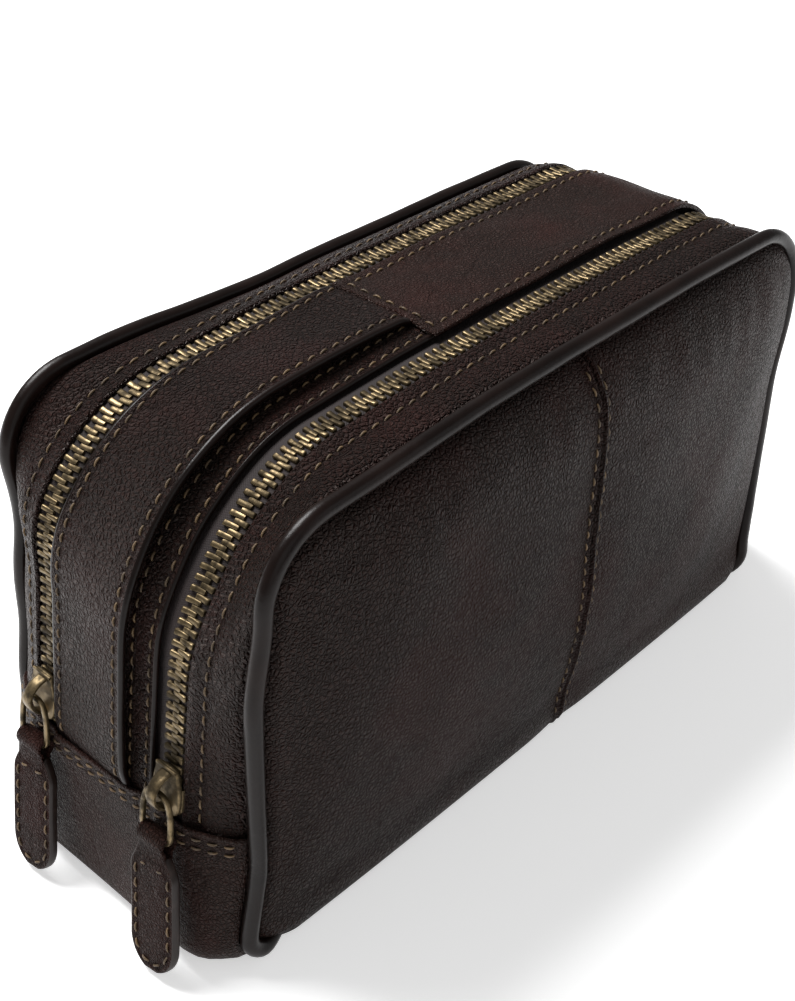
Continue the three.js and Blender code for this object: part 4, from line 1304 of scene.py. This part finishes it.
def make_pull_tab(label, side):
    straight_part = np.linspace(TAB_NECK, 30, 34)
    round_part = TAB_LENGTH - 9.2 * (1 - np.sin(np.linspace(0, 0.5, 22) * math.pi))
    z = -np.clip(np.concatenate([straight_part, round_part]), TAB_NECK, TAB_LENGTH)
    half = tab_half_width(z)
    spread = np.sin(np.linspace(-0.5, 0.5, 25) * math.pi)
    y = spread[None, :] * half[:, None]
    grid_z = np.repeat(z[:, None], y.shape[1], 1)
    from_side = half[:, None] - np.abs(y)
    from_end = np.minimum(TAB_LENGTH + grid_z, -TAB_NECK - grid_z)
    inside = np.maximum(0, np.minimum(from_side, from_end))
    # The stitch row's groove: pressed into the tab, with its colour darkened there as painted shade.
    press = bell(inside - TAB_ROW_INSET, 0.7)
    deep = TAB_HALF_THICKNESS - turned(inside, 0.9) - 0.26 * press + 0.25 * smooth(inside, 2.5, 6)
    bend = tab_bend(grid_z, side)
    outer = np.stack([bend - deep, y, grid_z], -1)
    inner = np.stack([bend + deep, y, grid_z], -1)
    verts, faces = closed_sheet(outer, inner)
    rub = np.clip(1 - inside / 1.4, 0, 1)
    turn = np.linspace(-0.83, 0.83, 19) * math.pi
    loop = [(2.35 * math.sin(a), 0.0, 2.35 * math.cos(a)) for a in turn]
    leg = [(0.75, 0.0, -7.0), (0.85, 0.0, -5.0), (1.1, 0.0, -3.8)]
    neck = [(-x, y, z) for x, y, z in leg] + loop + leg[::-1]
    loop_rings = swept_bar(neck, 10.6, 1.3, sides=16)
    start = len(verts)
    faces += loft_faces(loop_rings.shape[0], loop_rings.shape[1], start=start)
    verts = np.concatenate([verts, loop_rings.reshape(-1, 3)])
    size = loop_rings.shape[0] * loop_rings.shape[1]
    marks = {"rub": np.concatenate([rub.ravel(), rub.ravel(), np.full(size, 0.4)]),
             "press": np.concatenate([press.ravel(), press.ravel(), np.zeros(size)])}
    edge = np.concatenate([inside.ravel(), inside.ravel(), np.full(size, 9.0)])
    which = [1 if max(edge[i] for i in face) < 0.75 else 0 for face in faces]
    piece = finish_mesh(f"{label}_tab_leather", on_tab(verts, side), faces, [look("tab"), look("paint")],
                        marks, which, soft=False)
    fixed_piece(piece, f"{label}_tab", f"{label}_pull_tab", slot="leather_smooth")


def make_tab_stitching(label, side):
    arc = np.linspace(0, math.pi / 2, 24)
    straight = -np.linspace(9.0, TAB_LENGTH - TAB_ROUNDING, 24)
    radius = TAB_ROUNDING - TAB_ROW_INSET
    sides = np.column_stack([tab_half_width(straight) - TAB_ROW_INSET, straight])
    bend = np.column_stack([radius * np.cos(arc), -TAB_LENGTH + TAB_ROUNDING - radius * np.sin(arc)])[1:-1]
    border = np.concatenate([sides, bend])
    tip = [[0.0, -TAB_LENGTH + TAB_ROW_INSET]]
    outline = np.concatenate([border, tip, (border * (-1, 1))[::-1]])
    places = np.arange(len(outline), dtype=float)

    def border_row(face):
        def point_at(place, up):
            yy, zz = (np.interp(place, places, outline[:, i]) for i in (0, 1))
            x = tab_bend(zz, side) + face * (TAB_HALF_THICKNESS - 0.1 + up)
            return np.stack([x, yy, zz], -1)
        return point_at, 0.0, float(len(outline) - 1)

    def neck_row(face):
        def point_at(place, up):
            x = face * (TAB_HALF_THICKNESS + 0.05 + up) + 0.0 * place
            return np.stack([x, place, np.full_like(place, -8.4)], -1)
        return point_at, -6.4, 6.4

    flat_rows = [border_row(-1), border_row(1), neck_row(-1), neck_row(1)]
    placed = [(lambda place, up, row=row: on_tab(row(place, up), side), start, end)
              for row, start, end in flat_rows]
    sewn = stitches(f"{label}_tab_stitching", placed, soft=False, **sewing())
    fixed_piece(sewn, f"{label}_tab", slot="thread")


# ------------------------------------------------------------ operators


class KitBagOperator:
    """Runs its makers once, then its side makers for the front and for the back."""

    bl_options = {"REGISTER", "UNDO"}
    makers = ()
    side_makers = ()

    def execute(self, context):
        for maker in self.makers:
            maker()
        for label, side in SIDES:
            for maker in self.side_makers:
                maker(label, side)
        return {"FINISHED"}


class KITBAG_OT_stage(KitBagOperator, bpy.types.Operator):
    """Make the camera, the floor and the studio light"""

    bl_idname = "kitbag.stage"
    bl_label = "Stage"
    makers = (make_stage,)


class KITBAG_OT_base_wrap(KitBagOperator, bpy.types.Operator):
    """Make the leather base, turned up over both ends"""

    bl_idname = "kitbag.base_wrap"
    bl_label = "Base wrap"
    makers = (make_base_wrap, finish_stiffener)


class KITBAG_OT_centre_gusset(KitBagOperator, bpy.types.Operator):
    """Make the leather band between the zips"""

    bl_idname = "kitbag.centre_gusset"
    bl_label = "Centre gusset"
    makers = (make_centre_gusset,)


class KITBAG_OT_handle_strap(KitBagOperator, bpy.types.Operator):
    """Make the two layers of the handle strap"""

    bl_idname = "kitbag.handle_strap"
    bl_label = "Handle strap"
    makers = (make_handle_strap,)


class KITBAG_OT_top_cover(KitBagOperator, bpy.types.Operator):
    """Make the smooth cover over the top and the far end"""

    bl_idname = "kitbag.top_cover"
    bl_label = "Top cover"
    makers = (make_top_cover,)


class KITBAG_OT_side_bands(KitBagOperator, bpy.types.Operator):
    """Make the bands between zips and piping"""

    bl_idname = "kitbag.side_bands"
    bl_label = "Side bands"
    side_makers = (make_side_band,)


class KITBAG_OT_panels(KitBagOperator, bpy.types.Operator):
    """Make the front and back panels, two halves each"""

    bl_idname = "kitbag.panels"
    bl_label = "Panels"
    side_makers = (make_panels,)


class KITBAG_OT_piping(KitBagOperator, bpy.types.Operator):
    """Make the piping round each panel"""

    bl_idname = "kitbag.piping"
    bl_label = "Piping"
    side_makers = (make_piping,)


class KITBAG_OT_linings(KitBagOperator, bpy.types.Operator):
    """Make the divider and the cloth inside both compartments"""

    bl_idname = "kitbag.linings"
    bl_label = "Linings"
    makers = (make_divider,)
    side_makers = (make_panel_lining, make_compartment_lining)


class KITBAG_OT_zips(KitBagOperator, bpy.types.Operator):
    """Make the teeth and tapes of both zips"""

    bl_idname = "kitbag.zips"
    bl_label = "Zips"
    side_makers = (make_zip,)


class KITBAG_OT_sliders(KitBagOperator, bpy.types.Operator):
    """Make the sliders and the rings on them"""

    bl_idname = "kitbag.sliders"
    bl_label = "Sliders"
    side_makers = (make_slider, make_bail)


class KITBAG_OT_pull_tabs(KitBagOperator, bpy.types.Operator):
    """Make the stitched leather pull tabs"""

    bl_idname = "kitbag.pull_tabs"
    bl_label = "Pull tabs"
    side_makers = (make_pull_tab, make_tab_stitching)


OPERATORS = (
    KITBAG_OT_stage, KITBAG_OT_base_wrap, KITBAG_OT_centre_gusset, KITBAG_OT_handle_strap,
    KITBAG_OT_top_cover, KITBAG_OT_side_bands, KITBAG_OT_panels, KITBAG_OT_piping,
    KITBAG_OT_linings, KITBAG_OT_zips, KITBAG_OT_sliders, KITBAG_OT_pull_tabs,
)


class KITBAG_PT_panel(bpy.types.Panel):
    """Sidebar panel with the bag's settings and makers"""

    bl_idname = "KITBAG_PT_panel"
    bl_label = "Kit Bag"
    bl_space_type = "VIEW_3D"
    bl_region_type = "UI"
    bl_category = "Kit Bag"

    def draw(self, context):
        for group in SETTINGS:
            box = self.layout.box()
            settings = getattr(context.scene, group)
            for key in settings.bl_rna.properties.keys():
                if key not in ("rna_type", "name"):
                    box.prop(settings, key)
        for operator in OPERATORS:
            self.layout.operator(operator.bl_idname)


SETTINGS = {
    "kit_bag_colours": KitBagColours,
    "kit_bag_sizes": KitBagSizes,
    "kit_bag_stage": KitBagStage,
}
CLASSES = (*SETTINGS.values(), *OPERATORS, KITBAG_PT_panel)


def register():
    for item in CLASSES:
        bpy.utils.register_class(item)
    for name, group in SETTINGS.items():
        setattr(bpy.types.Scene, name, PointerProperty(type=group))


def unregister():
    for name in SETTINGS:
        delattr(bpy.types.Scene, name)
    for item in reversed(CLASSES):
        bpy.utils.unregister_class(item)


def main():
    register()
    for operator in OPERATORS:
        group, name = operator.bl_idname.split(".")
        getattr(getattr(bpy.ops, group), name)()


if __name__ == "__main__":
    main()
